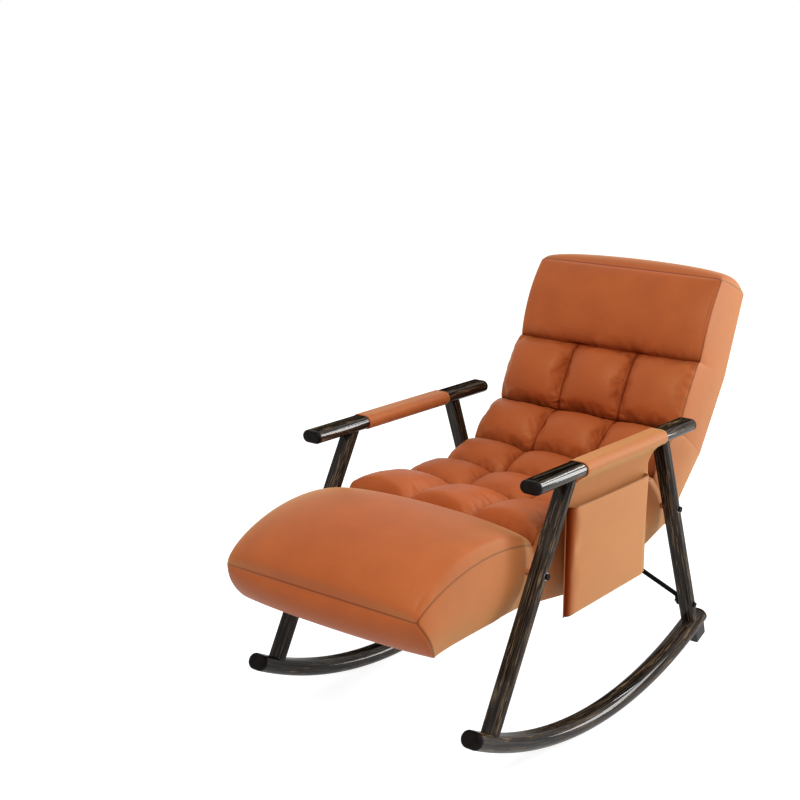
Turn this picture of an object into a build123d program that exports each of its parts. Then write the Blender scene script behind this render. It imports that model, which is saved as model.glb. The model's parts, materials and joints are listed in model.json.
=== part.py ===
"""Folding rocking lounge chair with a hinged back, a hinged leg rest and a side pocket.

Frame: +X to the sitter's left, -Y to the front, +Z up, origin on the floor under the middle of the chair.
Side-view points are (y, z) pairs. All lengths are millimetres.
"""

import os
from math import asin, atan2, cos, degrees, hypot, radians, sin, sqrt

from build123d import *

os.makedirs("parts", exist_ok=True)

SIDES = (("left", 1), ("right", -1))

# Side frames: an armrest, two legs and a rocker on each side
frame_x = 285.0
arm_width = 50.0
arm_height = 28.0
arm_wall = 1.5
arm_centre_z = 590.5
arm_front_y = -306.0
arm_rear_y = 309.0
cap_length = 9.0
cap_round = 6.0
leg_width = 37.0
leg_depth = 25.0
leg_wall = 1.5
leg_corner = 9.0
front_leg_arm_y = -167.8
front_leg_rocker_y = -430.0
rear_leg_arm_y = 187.0
rear_leg_rocker_y = 368.0
rocker_width = 50.0
rocker_height = 36.0
rocker_wall = 2.0
rocker_radius = 1000.0
rocker_low_y = -20.0
rocker_front_y = -486.0
rocker_rear_y = 405.0
weld_gap = 0.1

# Rubber stops under the rear ends of the rockers
stop_y = 376.0
stop_length = 46.0
stop_width = 40.0
stop_depth = 27.0
stop_corner = 6.0
stop_sink = 6.0

# Leatherette sleeves on the armrests, and the pocket that hangs from the left one
sleeve_wall = 1.6
sleeve_gap = 0.3
sleeve_front_y = -138.0
sleeve_rear_y = {"left": 177.0, "right": 152.0}
flap_thickness = 2.4
flap_front_y = -176.0
flap_top_front_y = -150.0
flap_rear_y = 141.0
flap_shoulder_z = 535.0
flap_bottom_z = 292.0
pouch_front_y = -174.0
pouch_rear_y = 128.0
pouch_top_z = 519.0
pouch_bottom_z = 294.0
pouch_top_depth = 17.0
pouch_bottom_depth = 8.0
pouch_wall = 1.6

# Hinge bolts through the legs: their heights give their places on the leg axes
back_hinge_z = 409.0
legrest_hinge_z = 404.0
brace_bolt_z = 154.0
bolt_radius = 4.0
bolt_head_radius = 6.5
bolt_head_height = 4.5
bolt_tail = 3.0
bolt_clearance = 0.2
running_clearance = 0.05
washer_radius = 8.0
washer_thickness = 1.5
nut_radius = 7.2
nut_height = 6.0
spacer_radius = 6.0

# Hinges: a notched disc turns between two cheeks, and a leaf spring clicks into its rim
cheek_thickness = 3.0
disc_thickness = 5.0
side_play = 0.3
hub_radius = 26.0
disc_radius = 24.0
notch_count = 24
notch_radius = 1.8
foot_radius = 10.0
disc_arm_width = 17.0
disc_arm_reach = 70.0
cheek_tang_width = 13.0
tang_length = 42.0
rivet_radius = 2.0
rivet_reach = 42.0
rivet_turn = 20.0
nose_turn = 45.0
spring_thickness = 1.0
spring_eye_radius = 3.4
spring_nose_radius = 1.4

# Steel tubes inside the cushions
tube_radius = 11.0
tube_wall = 1.5
tube_depth = 16.0
tube_start = 45.0
seat_rail_front = (-238.0, 345.0)
seat_rail_rear = (228.0, 364.0)
rail_end_gap = 12.0
seat_cross_inset = 42.0
legrest_rail_front = (-505.0, 347.0)
back_top_inset = 40.0
back_bend_radii = (150.0, 200.0)
fold_reach = 54.0

# Webbing straps looped round the tubes
strap_width = 45.0
strap_thickness = 2.0
strap_gap = 0.3
seat_strap_count = 5
seat_strap_pitch = 66.0
legrest_strap_count = 3
legrest_strap_pitch = 52.0
back_strap_count = 2
back_strap_pitch = 72.0

# Rear brace: two rods from the rear legs up to a bracket under the seat
brace_top = (262.0, 335.0)
brace_rod_radius = 5.5
brace_tab = 4.0
brace_tab_radius = 9.0
brace_tab_reach = 18.0
bracket_thickness = 6.0
brace_bolt_radius = 3.0

# Cushions: a seam line on top and an underside, station by station from front to back
pad_side_gap = 16.5
pad_pinch = 4.0
pad_side_bulge = 7.0
pad_joint_gap = 0.4
skirt = 18.0
tray_depth = 30.0
seam_points = (
    (-601.5, 397.0),
    (-232.0, 445.0),
    (-37.0, 447.0),
    (116.0, 442.0),
    (234.0, 475.0),
    (343.0, 558.0),
    (424.0, 704.0),
    (509.0, 883.0),
)
under_points = (
    (-552.0, 312.0),
    (-264.0, 326.0),
    (-40.0, 294.0),
    (131.0, 303.0),
    (298.0, 352.0),
    (432.0, 484.0),
    (535.0, 647.0),
    (610.5, 836.0),
)
station_crown = 3.0
tuft_columns = 3
tuft_seam_rise = 13.0
tuft_crown = 23.0
front_tuft_rise = 22.0
legrest_arch = 36.0
legrest_crown = 54.0
legrest_front_crown = 18.0
headrest_rise = 8.0
headrest_crown = 22.0
headrest_top_crown = 14.0
headrest_top_rise = 40.0
headrest_top_share = 0.3
headrest_top_inset = 18.0
cover_thickness = 1.5
cover_gap = 0.3
seat_cover_front_y = -190.0
seat_cover_rear_y = 205.0
legrest_cover_rear_y = -346.0

# Sizes that follow from the ones above
pad_half_width = frame_x - leg_width / 2 - pad_side_gap
tray_half_width = pad_half_width - skirt
strap_radius = tube_radius + strap_gap + strap_thickness
rail_x = tray_half_width - strap_radius - strap_gap
tray_rise = strap_radius + strap_gap
rocker_centre_z = rocker_radius + rocker_height / 2
leg_inner_x = frame_x - leg_width / 2
leg_outer_x = frame_x + leg_width / 2
disc_inner_x = rail_x - disc_thickness / 2
disc_outer_x = rail_x + disc_thickness / 2
cheek_outer_x = disc_outer_x + side_play + cheek_thickness
cheek_inner_x = disc_inner_x - side_play - cheek_thickness
nut_inner_x = cheek_inner_x - washer_thickness - nut_height
pocket_inner_x = nut_inner_x - bolt_tail - 2 * side_play
pocket_outer_x = cheek_outer_x + 2 * side_play
fold_outer_x = rail_x + tube_radius + 2 * side_play


# Points and directions in the side view
def ahead(start, end, distance):
    """Return the point that lies a distance from start towards end."""
    length = hypot(end[0] - start[0], end[1] - start[1])
    share = distance / length
    return (start[0] + (end[0] - start[0]) * share, start[1] + (end[1] - start[1]) * share)


def middle(start, end):
    """Return the point halfway between two points."""
    return ((start[0] + end[0]) / 2, (start[1] + end[1]) / 2)


def polar(centre, radius, angle):
    """Return the point at a radius and an angle in degrees from a centre."""
    return (centre[0] + radius * cos(radians(angle)), centre[1] + radius * sin(radians(angle)))


def bearing(start, end):
    """Return the angle in degrees from one point to another."""
    return degrees(atan2(end[1] - start[1], end[0] - start[0]))


def at_x(x, point):
    """Lift a side-view point to three dimensions."""
    return (x, point[0], point[1])


def depth(station, distance):
    """Return the point a distance inside the underside, on a cushion station."""
    return ahead(under_points[station], seam_points[station], distance)


def rocker_angle(y):
    """Return the angle of the rocker's arc, from its lowest point, at a given y."""
    return asin((y - rocker_low_y) / rocker_radius)


def rocker_point(y):
    """Return the point on the rocker's centre line at a given y."""
    return (y, rocker_centre_z - sqrt(rocker_radius**2 - (y - rocker_low_y) ** 2))


front_leg_top = (front_leg_arm_y, arm_centre_z)
front_leg_foot = rocker_point(front_leg_rocker_y)
rear_leg_top = (rear_leg_arm_y, arm_centre_z)
rear_leg_foot = rocker_point(rear_leg_rocker_y)


def on_leg(top, foot, z):
    """Return the point on a leg's axis at a height."""
    return (top[0] + (foot[0] - top[0]) * (top[1] - z) / (top[1] - foot[1]), z)


back_hinge = on_leg(rear_leg_top, rear_leg_foot, back_hinge_z)
legrest_hinge = on_leg(front_leg_top, front_leg_foot, legrest_hinge_z)
brace_bolt = on_leg(rear_leg_top, rear_leg_foot, brace_bolt_z)
back_path = [back_hinge, depth(5, tube_depth), depth(6, tube_depth)]
back_path.append(ahead(depth(7, tube_depth), back_path[2], back_top_inset))
back_rail_start = ahead(back_hinge, back_path[1], tube_start)
legrest_rail_start = ahead(legrest_hinge, legrest_rail_front, tube_start)


# Shapes that several pieces share
def side_prism(points, inner_x, outer_x):
    """Build a prism with a side-view outline, between two values of x."""
    with BuildPart() as prism:
        with BuildSketch(Plane.YZ.offset(inner_x)):
            with BuildLine():
                Polyline(*points, close=True)
            make_face()
        extrude(amount=outer_x - inner_x)
    return prism.part


def cross_rod(point, radius, inner_x, outer_x):
    """Build a round rod along X, between two values of x."""
    with BuildPart() as rod:
        with BuildSketch(Plane.YZ.offset(min(inner_x, outer_x))):
            with Locations(point):
                Circle(radius)
        extrude(amount=abs(outer_x - inner_x))
    return rod.part


def run_plane(x, start, end):
    """Return a plane across a straight run, with its normal along the run and X as its first axis."""
    return Plane(
        origin=at_x(x, start),
        x_dir=(1, 0, 0),
        z_dir=(0, end[0] - start[0], end[1] - start[1]),
    )


def straight_tube(x, start, end):
    """Build a round steel tube between two side-view points."""
    with BuildPart() as tube:
        with BuildSketch(run_plane(x, start, end)):
            Circle(tube_radius)
            Circle(tube_radius - tube_wall, mode=Mode.SUBTRACT)
        extrude(amount=hypot(end[0] - start[0], end[1] - start[1]))
    return tube.part


def cross_tube(point):
    """Build a round cross tube whose ends are shaped to the rails that it is welded to."""
    with BuildPart() as tube:
        with BuildSketch(Plane.YZ.offset(-rail_x)):
            with Locations(point):
                Circle(tube_radius)
                Circle(tube_radius - tube_wall, mode=Mode.SUBTRACT)
        extrude(amount=2 * rail_x)
    return tube.part


def bent_rod(x, points, radii, radius):
    """Build a round rod along straight runs joined by arcs, in a side-view plane."""
    with BuildPart() as rod:
        with BuildLine(Plane.YZ.offset(x)) as path:
            FilletPolyline(*points, radius=radii)
        with BuildSketch(path.line ^ 0):
            Circle(radius)
        sweep()
    return rod.part


def rocker_plane(x, y):
    """Return the plane across a rocker at a given y, facing the rear."""
    angle = rocker_angle(y)
    return Plane(
        origin=at_x(x, rocker_point(y)),
        x_dir=(1, 0, 0),
        z_dir=(0, cos(angle), sin(angle)),
    )


cap_angle = cap_length / rocker_radius
rocker_tube_front_y = rocker_low_y + rocker_radius * sin(rocker_angle(rocker_front_y) + cap_angle)
rocker_tube_rear_y = rocker_low_y + rocker_radius * sin(rocker_angle(rocker_rear_y) - cap_angle)


def rocker_bar(x, inset):
    """Build a solid rocker bar, with its section drawn in by an inset."""
    turn = degrees(rocker_angle(rocker_tube_rear_y) - rocker_angle(rocker_tube_front_y))
    with BuildPart() as bar:
        with BuildSketch(rocker_plane(x, rocker_tube_front_y)):
            SlotOverall(rocker_width - 2 * inset, rocker_height - 2 * inset)
        revolve(axis=Axis(at_x(0, (rocker_low_y, rocker_centre_z)), (1, 0, 0)), revolution_arc=turn)
    return bar.part


arm_length = arm_rear_y - arm_front_y - 2 * cap_length


def arm_bar(x, inset):
    """Build a solid armrest bar, with its section drawn in by an inset."""
    with BuildPart() as bar:
        with BuildSketch(Plane.XZ.offset(-arm_rear_y + cap_length)):
            with Locations((x, arm_centre_z)):
                SlotOverall(arm_width - 2 * inset, arm_height - 2 * inset)
        extrude(amount=arm_length)
    return bar.part


def save(part, name):
    """Label a finished piece and write its file."""
    part.label = name
    export_step(part, f"parts/{name}.step")


# Armrests, rockers and legs
leg_lines = {
    "front_leg": (front_leg_foot, front_leg_top, legrest_hinge, ()),
    "rear_leg": (rear_leg_foot, rear_leg_top, back_hinge, (brace_bolt,)),
}
for side, sign in SIDES:
    x = sign * frame_x
    with BuildPart() as armrest:
        add(arm_bar(x, 0))
        add(arm_bar(x, arm_wall), mode=Mode.SUBTRACT)
    save(armrest.part, f"armrest_{side}")

    with BuildPart() as rocker:
        add(rocker_bar(x, 0))
        add(rocker_bar(x, rocker_wall), mode=Mode.SUBTRACT)
    save(rocker.part, f"rocker_{side}")

    for leg_name, (foot, top, hinge_point, brace_points) in leg_lines.items():
        with BuildPart() as leg:
            with BuildSketch(run_plane(x, foot, top)):
                RectangleRounded(leg_width, leg_depth, leg_corner)
                RectangleRounded(
                    leg_width - 2 * leg_wall,
                    leg_depth - 2 * leg_wall,
                    leg_corner - leg_wall,
                    mode=Mode.SUBTRACT,
                )
            extrude(amount=hypot(top[0] - foot[0], top[1] - foot[1]))
            add(arm_bar(x, -weld_gap), mode=Mode.SUBTRACT)
            add(rocker_bar(x, -weld_gap), mode=Mode.SUBTRACT)
            bore = cross_rod(hinge_point, bolt_radius + bolt_clearance, x - leg_width, x + leg_width)
            add(bore, mode=Mode.SUBTRACT)
            for point in brace_points:
                bore = cross_rod(point, brace_bolt_radius + bolt_clearance, x - leg_width, x + leg_width)
                add(bore, mode=Mode.SUBTRACT)
        save(leg.part, f"{leg_name}_{side}")

# Rounded plugs in the ends of the armrests and rockers
with BuildPart() as armrest_caps:
    for side, sign in SIDES:
        with BuildSketch(
            Plane.XZ.offset(-arm_front_y - cap_length),
            Plane.XZ.offset(-arm_rear_y),
        ):
            with Locations((sign * frame_x, arm_centre_z)):
                SlotOverall(arm_width, arm_height)
    extrude(amount=cap_length)
    front_edges = armrest_caps.faces().filter_by(Axis.Y).group_by(Axis.Y)[0].edges()
    rear_edges = armrest_caps.faces().filter_by(Axis.Y).group_by(Axis.Y)[-1].edges()
    fillet(front_edges + rear_edges, radius=cap_round)
save(armrest_caps.part, "armrest_caps")


def rocker_cap(x, y, amount):
    """Build one plug beyond a rocker's end, with its outer edge rounded."""
    plane = rocker_plane(x, y)
    with BuildPart() as cap:
        with BuildSketch(plane):
            SlotOverall(rocker_width, rocker_height)
        extrude(amount=amount)
        outward = Axis(plane.origin, plane.z_dir * amount)
        fillet(cap.faces().sort_by(outward)[-1].edges(), radius=cap_round)
    return cap.part


with BuildPart() as rocker_caps:
    for side, sign in SIDES:
        add(rocker_cap(sign * frame_x, rocker_tube_front_y, -cap_length))
        add(rocker_cap(sign * frame_x, rocker_tube_rear_y, cap_length))
save(rocker_caps.part, "rocker_caps")

# Rubber stops, saddled to the rockers' undersides
with BuildPart() as rear_stops:
    for side, sign in SIDES:
        stop_angle = rocker_angle(stop_y)
        outward = (0, sin(stop_angle), -cos(stop_angle))
        reach = rocker_height / 2 - stop_sink
        seat_point = rocker_point(stop_y)
        stop_plane = Plane(
            origin=at_x(
                sign * frame_x,
                (seat_point[0] + reach * outward[1], seat_point[1] + reach * outward[2]),
            ),
            x_dir=(1, 0, 0),
            z_dir=outward,
        )
        with BuildSketch(stop_plane):
            RectangleRounded(stop_width, stop_length, stop_corner)
        extrude(amount=stop_depth + stop_sink, taper=4)
    for side, sign in SIDES:
        add(rocker_bar(sign * frame_x, -weld_gap), mode=Mode.SUBTRACT)
save(rear_stops.part, "rear_stops")

# Sleeves round the armrests
for side, sign in SIDES:
    with BuildPart() as sleeve:
        with BuildSketch(Plane.XZ.offset(-sleeve_rear_y[side])):
            with Locations((sign * frame_x, arm_centre_z)):
                outer = sleeve_gap + sleeve_wall
                SlotOverall(arm_width + 2 * outer, arm_height + 2 * outer)
                SlotOverall(arm_width + 2 * sleeve_gap, arm_height + 2 * sleeve_gap, mode=Mode.SUBTRACT)
        extrude(amount=sleeve_rear_y[side] - sleeve_front_y)
    save(sleeve.part, f"sleeve_{side}")

# Flap that hangs under the left sleeve, and the gusseted pouch sewn on its outer face
flap_top_z = arm_centre_z - arm_height / 2 - sleeve_gap - sleeve_wall
flap_outer_x = frame_x + flap_thickness / 2
with BuildPart() as pocket_flap:
    with BuildSketch(Plane.YZ.offset(flap_outer_x - flap_thickness)):
        with BuildLine():
            Polyline(
                (flap_front_y, flap_bottom_z),
                (flap_rear_y, flap_bottom_z),
                (flap_rear_y, flap_top_z),
                (flap_top_front_y, flap_top_z),
                (flap_front_y, flap_shoulder_z),
                close=True,
            )
        make_face()
    extrude(amount=flap_thickness)
save(pocket_flap.part, "pocket_flap")

with BuildPart() as pocket_pouch:
    with BuildSketch(Plane.XZ.offset(-pouch_rear_y)):
        with BuildLine():
            Polyline(
                (flap_outer_x, pouch_bottom_z),
                (flap_outer_x + pouch_bottom_depth, pouch_bottom_z),
                (flap_outer_x + pouch_top_depth, pouch_top_z),
                (flap_outer_x, pouch_top_z),
                close=True,
            )
        make_face()
    extrude(amount=pouch_rear_y - pouch_front_y)
    with BuildSketch(Plane.XZ.offset(-pouch_rear_y + pouch_wall)):
        with BuildLine():
            Polyline(
                (flap_outer_x, pouch_bottom_z + pouch_wall),
                (flap_outer_x + pouch_bottom_depth - pouch_wall, pouch_bottom_z + pouch_wall),
                (flap_outer_x + pouch_top_depth - pouch_wall, pouch_top_z),
                (flap_outer_x, pouch_top_z),
                close=True,
            )
        make_face()
    extrude(amount=pouch_rear_y - pouch_front_y - 2 * pouch_wall, mode=Mode.SUBTRACT)
save(pocket_pouch.part, "pocket_pouch")


# Hinge hardware, alike at the back and the leg rest
class Hinge:
    """One hinge axis: its centre, the seat rail's end by it and the turn of its leaf spring."""

    def __init__(self, centre, foot, rail_far_end, arm_end, turn):
        """Work out the places of the foot, the rivet and the spring's nose."""
        self.centre = centre
        self.foot = foot
        self.rail_far_end = rail_far_end
        self.arm_end = arm_end
        foot_bearing = bearing(centre, foot)
        self.rivet = polar(centre, rivet_reach, foot_bearing + turn * rivet_turn)
        self.nose = polar(centre, disc_radius, foot_bearing + turn * nose_turn)


back_axis = Hinge(back_hinge, seat_rail_rear, seat_rail_front, back_path[1], -1)
legrest_axis = Hinge(legrest_hinge, seat_rail_front, seat_rail_rear, legrest_rail_front, 1)


def cheek(hinge, inner_x):
    """Build one seat-side cheek: hub, foot and rivet lug, with a tang that plugs into the seat rail."""
    tang_end = ahead(hinge.foot, hinge.rail_far_end, tang_length)
    turn = bearing(hinge.foot, tang_end)
    with BuildPart() as plate:
        with BuildSketch(Plane.YZ.offset(inner_x)):
            with Locations(hinge.centre):
                Circle(hub_radius)
            with Locations(hinge.foot):
                Circle(foot_radius)
            with Locations(hinge.rivet):
                Circle(2 * spring_eye_radius)
            make_hull()
            with Locations(middle(hinge.foot, tang_end)):
                Rectangle(tang_length, cheek_tang_width, rotation=turn)
            with Locations(hinge.centre):
                Circle(bolt_radius + bolt_clearance, mode=Mode.SUBTRACT)
            with Locations(hinge.rivet):
                Circle(rivet_radius + running_clearance, mode=Mode.SUBTRACT)
        extrude(amount=cheek_thickness)
    return plate.part


def disc(hinge, inner_x):
    """Build one moving disc: a notched rim, and an arm that plugs into its tube."""
    arm_point = ahead(hinge.centre, hinge.arm_end, disc_arm_reach)
    turn = bearing(hinge.centre, arm_point)
    nose_bearing = bearing(hinge.centre, hinge.nose)
    with BuildPart() as plate:
        with BuildSketch(Plane.YZ.offset(inner_x)):
            with Locations(hinge.centre):
                Circle(disc_radius)
                with PolarLocations(disc_radius, notch_count, start_angle=nose_bearing):
                    Circle(notch_radius, mode=Mode.SUBTRACT)
            with Locations(middle(hinge.centre, arm_point)):
                Rectangle(disc_arm_reach, disc_arm_width, rotation=turn)
            with Locations(hinge.centre):
                Circle(bolt_radius + running_clearance, mode=Mode.SUBTRACT)
        extrude(amount=disc_thickness)
    return plate.part


def leaf_spring(hinge, inner_x):
    """Build one leaf spring: an eye on the rivet and a nose in a notch of the disc's rim."""
    with BuildPart() as leaf:
        with BuildSketch(Plane.YZ.offset(inner_x)):
            with Locations(middle(hinge.rivet, hinge.nose)):
                length = hypot(hinge.rivet[0] - hinge.nose[0], hinge.rivet[1] - hinge.nose[1])
                Rectangle(length, spring_thickness, rotation=bearing(hinge.nose, hinge.rivet))
            with Locations(hinge.nose):
                Circle(spring_nose_radius)
            with Locations(hinge.rivet):
                Circle(spring_eye_radius)
                Circle(rivet_radius + running_clearance, mode=Mode.SUBTRACT)
        extrude(amount=disc_thickness)
    return leaf.part


def hex_nut(point, radius, height, bore, inner_x):
    """Build a hexagon nut on an axis along X."""
    with BuildPart() as nut:
        with BuildSketch(Plane.YZ.offset(inner_x)):
            with Locations(point):
                RegularPolygon(radius, 6)
                Circle(bore, mode=Mode.SUBTRACT)
        extrude(amount=height)
    return nut.part


def ring(point, radius, bore, inner_x, outer_x):
    """Build a washer or spacer on an axis along X."""
    with BuildPart() as collar:
        add(cross_rod(point, radius, inner_x, outer_x))
        add(cross_rod(point, bore, inner_x, outer_x), mode=Mode.SUBTRACT)
    return collar.part


def both_sides(piece):
    """Return a piece on the left side together with its mirror image on the right."""
    with BuildPart() as pair:
        add(piece)
        mirror(about=Plane.YZ)
    return pair.part


for hinge_name, hinge in (("back", back_axis), ("legrest", legrest_axis)):
    with BuildPart() as hinge_cheeks:
        add(both_sides(cheek(hinge, cheek_inner_x)))
        add(both_sides(cheek(hinge, cheek_outer_x - cheek_thickness)))
    save(hinge_cheeks.part, f"{hinge_name}_hinge_cheeks")

    with BuildPart() as hinge_discs:
        add(both_sides(disc(hinge, disc_inner_x)))
    save(hinge_discs.part, f"{hinge_name}_hinge_discs")

    with BuildPart() as leaf_springs:
        add(both_sides(leaf_spring(hinge, disc_inner_x)))
    save(leaf_springs.part, f"{hinge_name}_leaf_springs")

washer_outer_x = leg_outer_x + washer_thickness
bolt_tip_x = nut_inner_x - bolt_tail
bolt_bore = bolt_radius + bolt_clearance
with BuildPart() as hinge_bolts:
    for hinge in (back_axis, legrest_axis):
        add(both_sides(cross_rod(hinge.centre, bolt_radius, bolt_tip_x, washer_outer_x)))
        head = cross_rod(hinge.centre, bolt_head_radius, washer_outer_x, washer_outer_x + bolt_head_height)
        add(both_sides(head))
save(hinge_bolts.part, "hinge_bolts")

with BuildPart() as hinge_washers:
    for hinge in (back_axis, legrest_axis):
        add(both_sides(ring(hinge.centre, washer_radius, bolt_bore, leg_outer_x, washer_outer_x)))
        inner = ring(hinge.centre, washer_radius, bolt_bore, cheek_inner_x - washer_thickness, cheek_inner_x)
        add(both_sides(inner))
save(hinge_washers.part, "hinge_washers")

with BuildPart() as hinge_nuts:
    for hinge in (back_axis, legrest_axis):
        add(both_sides(hex_nut(hinge.centre, nut_radius, nut_height, bolt_bore, nut_inner_x)))
save(hinge_nuts.part, "hinge_nuts")

with BuildPart() as hinge_spacers:
    for hinge in (back_axis, legrest_axis):
        add(both_sides(ring(hinge.centre, spacer_radius, bolt_bore, cheek_outer_x, leg_inner_x)))
save(hinge_spacers.part, "hinge_spacers")

with BuildPart() as hinge_rivets:
    for hinge in (back_axis, legrest_axis):
        add(both_sides(cross_rod(hinge.rivet, rivet_radius, cheek_inner_x, cheek_outer_x)))
save(hinge_rivets.part, "hinge_rivets")

# Seat frame: two rails between the hinges, and two cross tubes
seat_tube_front = ahead(seat_rail_front, seat_rail_rear, rail_end_gap)
seat_tube_rear = ahead(seat_rail_rear, seat_rail_front, rail_end_gap)
seat_front_cross = ahead(seat_rail_front, seat_rail_rear, seat_cross_inset)
seat_rear_cross = ahead(seat_rail_rear, seat_rail_front, seat_cross_inset)
rail_envelope = tube_radius + weld_gap


def rail_cutter(x, start, end):
    """Build the solid envelope of a rail, which shapes what is welded to it."""
    with BuildPart() as envelope:
        with BuildSketch(run_plane(x, start, end)):
            Circle(rail_envelope)
        extrude(amount=hypot(end[0] - start[0], end[1] - start[1]))
    return envelope.part


def welded_cross_tube(point, start, end):
    """Build a cross tube between two straight rails."""
    with BuildPart() as tube:
        add(cross_tube(point))
        for side, sign in SIDES:
            add(rail_cutter(sign * rail_x, start, end), mode=Mode.SUBTRACT)
    return tube.part


for side, sign in SIDES:
    save(straight_tube(sign * rail_x, seat_tube_front, seat_tube_rear), f"seat_rail_{side}")
    save(straight_tube(sign * rail_x, legrest_rail_start, legrest_rail_front), f"legrest_rail_{side}")

save(welded_cross_tube(seat_front_cross, seat_rail_front, seat_rail_rear), "seat_front_tube")
save(welded_cross_tube(seat_rear_cross, seat_rail_front, seat_rail_rear), "seat_rear_tube")
legrest_cross = ahead(legrest_rail_front, legrest_rail_start, tube_radius)
save(welded_cross_tube(legrest_cross, legrest_rail_start, legrest_rail_front), "legrest_front_tube")

# Back frame: two bent rails and two cross tubes
for side, sign in SIDES:
    with BuildPart() as back_rail:
        x = sign * rail_x
        run = [back_rail_start] + back_path[1:]
        add(bent_rod(x, run, list(back_bend_radii), tube_radius))
        add(bent_rod(x, run, list(back_bend_radii), tube_radius - tube_wall), mode=Mode.SUBTRACT)
    save(back_rail.part, f"back_rail_{side}")

back_top_cross = ahead(back_path[3], back_path[2], tube_radius)
back_mid_cross = middle(back_path[1], back_path[2])
save(welded_cross_tube(back_top_cross, back_path[2], back_path[3]), "back_top_tube")
save(welded_cross_tube(back_mid_cross, back_path[1], back_path[2]), "back_mid_tube")


# Webbing: flat straps with a loop round each rail
def strap(start, end, distance):
    """Build one strap across two rails, centred a distance along a run that leads to the front."""
    near = ahead(start, end, distance - strap_width / 2)
    loop_inner = tube_radius + strap_gap
    with BuildPart() as band:
        with BuildSketch(run_plane(0, near, end)):
            with Locations((0, loop_inner + strap_thickness / 2)):
                Rectangle(2 * rail_x, strap_thickness)
            with Locations((-rail_x, 0), (rail_x, 0)):
                Circle(strap_radius)
            with Locations((-rail_x, 0), (rail_x, 0)):
                Circle(loop_inner, mode=Mode.SUBTRACT)
        extrude(amount=strap_width)
    return band.part


def strap_set(start, end, count, pitch):
    """Return straps spread evenly about the middle of a run."""
    length = hypot(end[0] - start[0], end[1] - start[1])
    first = (length - (count - 1) * pitch) / 2
    return [strap(start, end, first + number * pitch) for number in range(count)]


with BuildPart() as seat_webbing:
    add(strap_set(seat_tube_rear, seat_tube_front, seat_strap_count, seat_strap_pitch))
save(seat_webbing.part, "seat_webbing")

with BuildPart() as legrest_webbing:
    add(strap_set(legrest_rail_start, legrest_rail_front, legrest_strap_count, legrest_strap_pitch))
save(legrest_webbing.part, "legrest_webbing")

with BuildPart() as back_webbing:
    add(strap_set(back_path[2], back_path[1], back_strap_count, back_strap_pitch))
    add(strap_set(back_path[3], back_path[2], back_strap_count, back_strap_pitch))
save(back_webbing.part, "back_webbing")

# Rear brace: a bracket on the seat's rear tube, and a rod to each rear leg
with BuildPart() as brace_bracket:
    with BuildSketch(Plane.YZ.offset(-bracket_thickness / 2)):
        with Locations(seat_rear_cross):
            Circle(strap_radius)
        with Locations(brace_top):
            Circle(brace_tab_radius)
        make_hull()
        with Locations(seat_rear_cross):
            Circle(rail_envelope, mode=Mode.SUBTRACT)
        with Locations(brace_top):
            Circle(brace_bolt_radius + bolt_clearance, mode=Mode.SUBTRACT)
    extrude(amount=bracket_thickness)
save(brace_bracket.part, "brace_bracket")


def brace_end(point, towards, inner_x):
    """Build the flat eye at one end of a brace rod."""
    with BuildPart() as eye:
        with BuildSketch(Plane.YZ.offset(inner_x)):
            with Locations(point):
                Circle(brace_tab_radius)
            with Locations(ahead(point, towards, brace_tab_reach)):
                Circle(brace_tab_radius)
            make_hull()
            with Locations(point):
                Circle(brace_bolt_radius + bolt_clearance, mode=Mode.SUBTRACT)
        extrude(amount=brace_tab)
    return eye.part


brace_inner_x = bracket_thickness / 2
brace_outer_x = leg_inner_x - brace_tab
rod_low = at_x(brace_outer_x + brace_tab / 2, ahead(brace_bolt, brace_top, brace_tab_reach))
rod_high = at_x(brace_inner_x + brace_tab / 2, ahead(brace_top, brace_bolt, brace_tab_reach))
rod_line = Vector(*rod_high) - Vector(*rod_low)
rod_over_run = 2 * brace_tab_reach
rod_end_inset = brace_tab / 8
rod_span = brace_outer_x + brace_tab - brace_inner_x - 2 * rod_end_inset
with BuildPart() as brace_rod:
    with BuildSketch(Plane(origin=Vector(*rod_low) - rod_line.normalized() * rod_over_run, z_dir=rod_line)):
        Circle(brace_rod_radius)
    extrude(amount=rod_line.length + 2 * rod_over_run)
    with Locations(at_x(brace_inner_x + rod_end_inset + rod_span / 2, middle(brace_bolt, brace_top))):
        Box(rod_span, frame_x, frame_x, mode=Mode.INTERSECT)
    add(brace_end(brace_bolt, brace_top, brace_outer_x))
    add(brace_end(brace_top, brace_bolt, brace_inner_x))
save(brace_rod.part, "brace_rod_left")

with BuildPart() as brace_rod_mirrored:
    add(mirror(brace_rod.part, about=Plane.YZ, mode=Mode.PRIVATE))
save(brace_rod_mirrored.part, "brace_rod_right")

brace_head_radius = 2 * brace_bolt_radius
brace_head_height = brace_bolt_radius + 1
eye_outer_x = brace_inner_x + brace_tab
brace_nut_height = brace_bolt_radius + 2
brace_bore = brace_bolt_radius + bolt_clearance
brace_tip_x = brace_outer_x - brace_nut_height - bolt_tail
with BuildPart() as brace_bolts:
    add(both_sides(cross_rod(brace_bolt, brace_bolt_radius, brace_tip_x, leg_outer_x)))
    head = cross_rod(brace_bolt, brace_head_radius, leg_outer_x, leg_outer_x + brace_head_height)
    add(both_sides(head))
    centre_tip_x = -eye_outer_x - brace_nut_height - bolt_tail
    add(cross_rod(brace_top, brace_bolt_radius, centre_tip_x, eye_outer_x))
    add(cross_rod(brace_top, brace_head_radius, eye_outer_x, eye_outer_x + brace_head_height))
save(brace_bolts.part, "brace_bolts")

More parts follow.
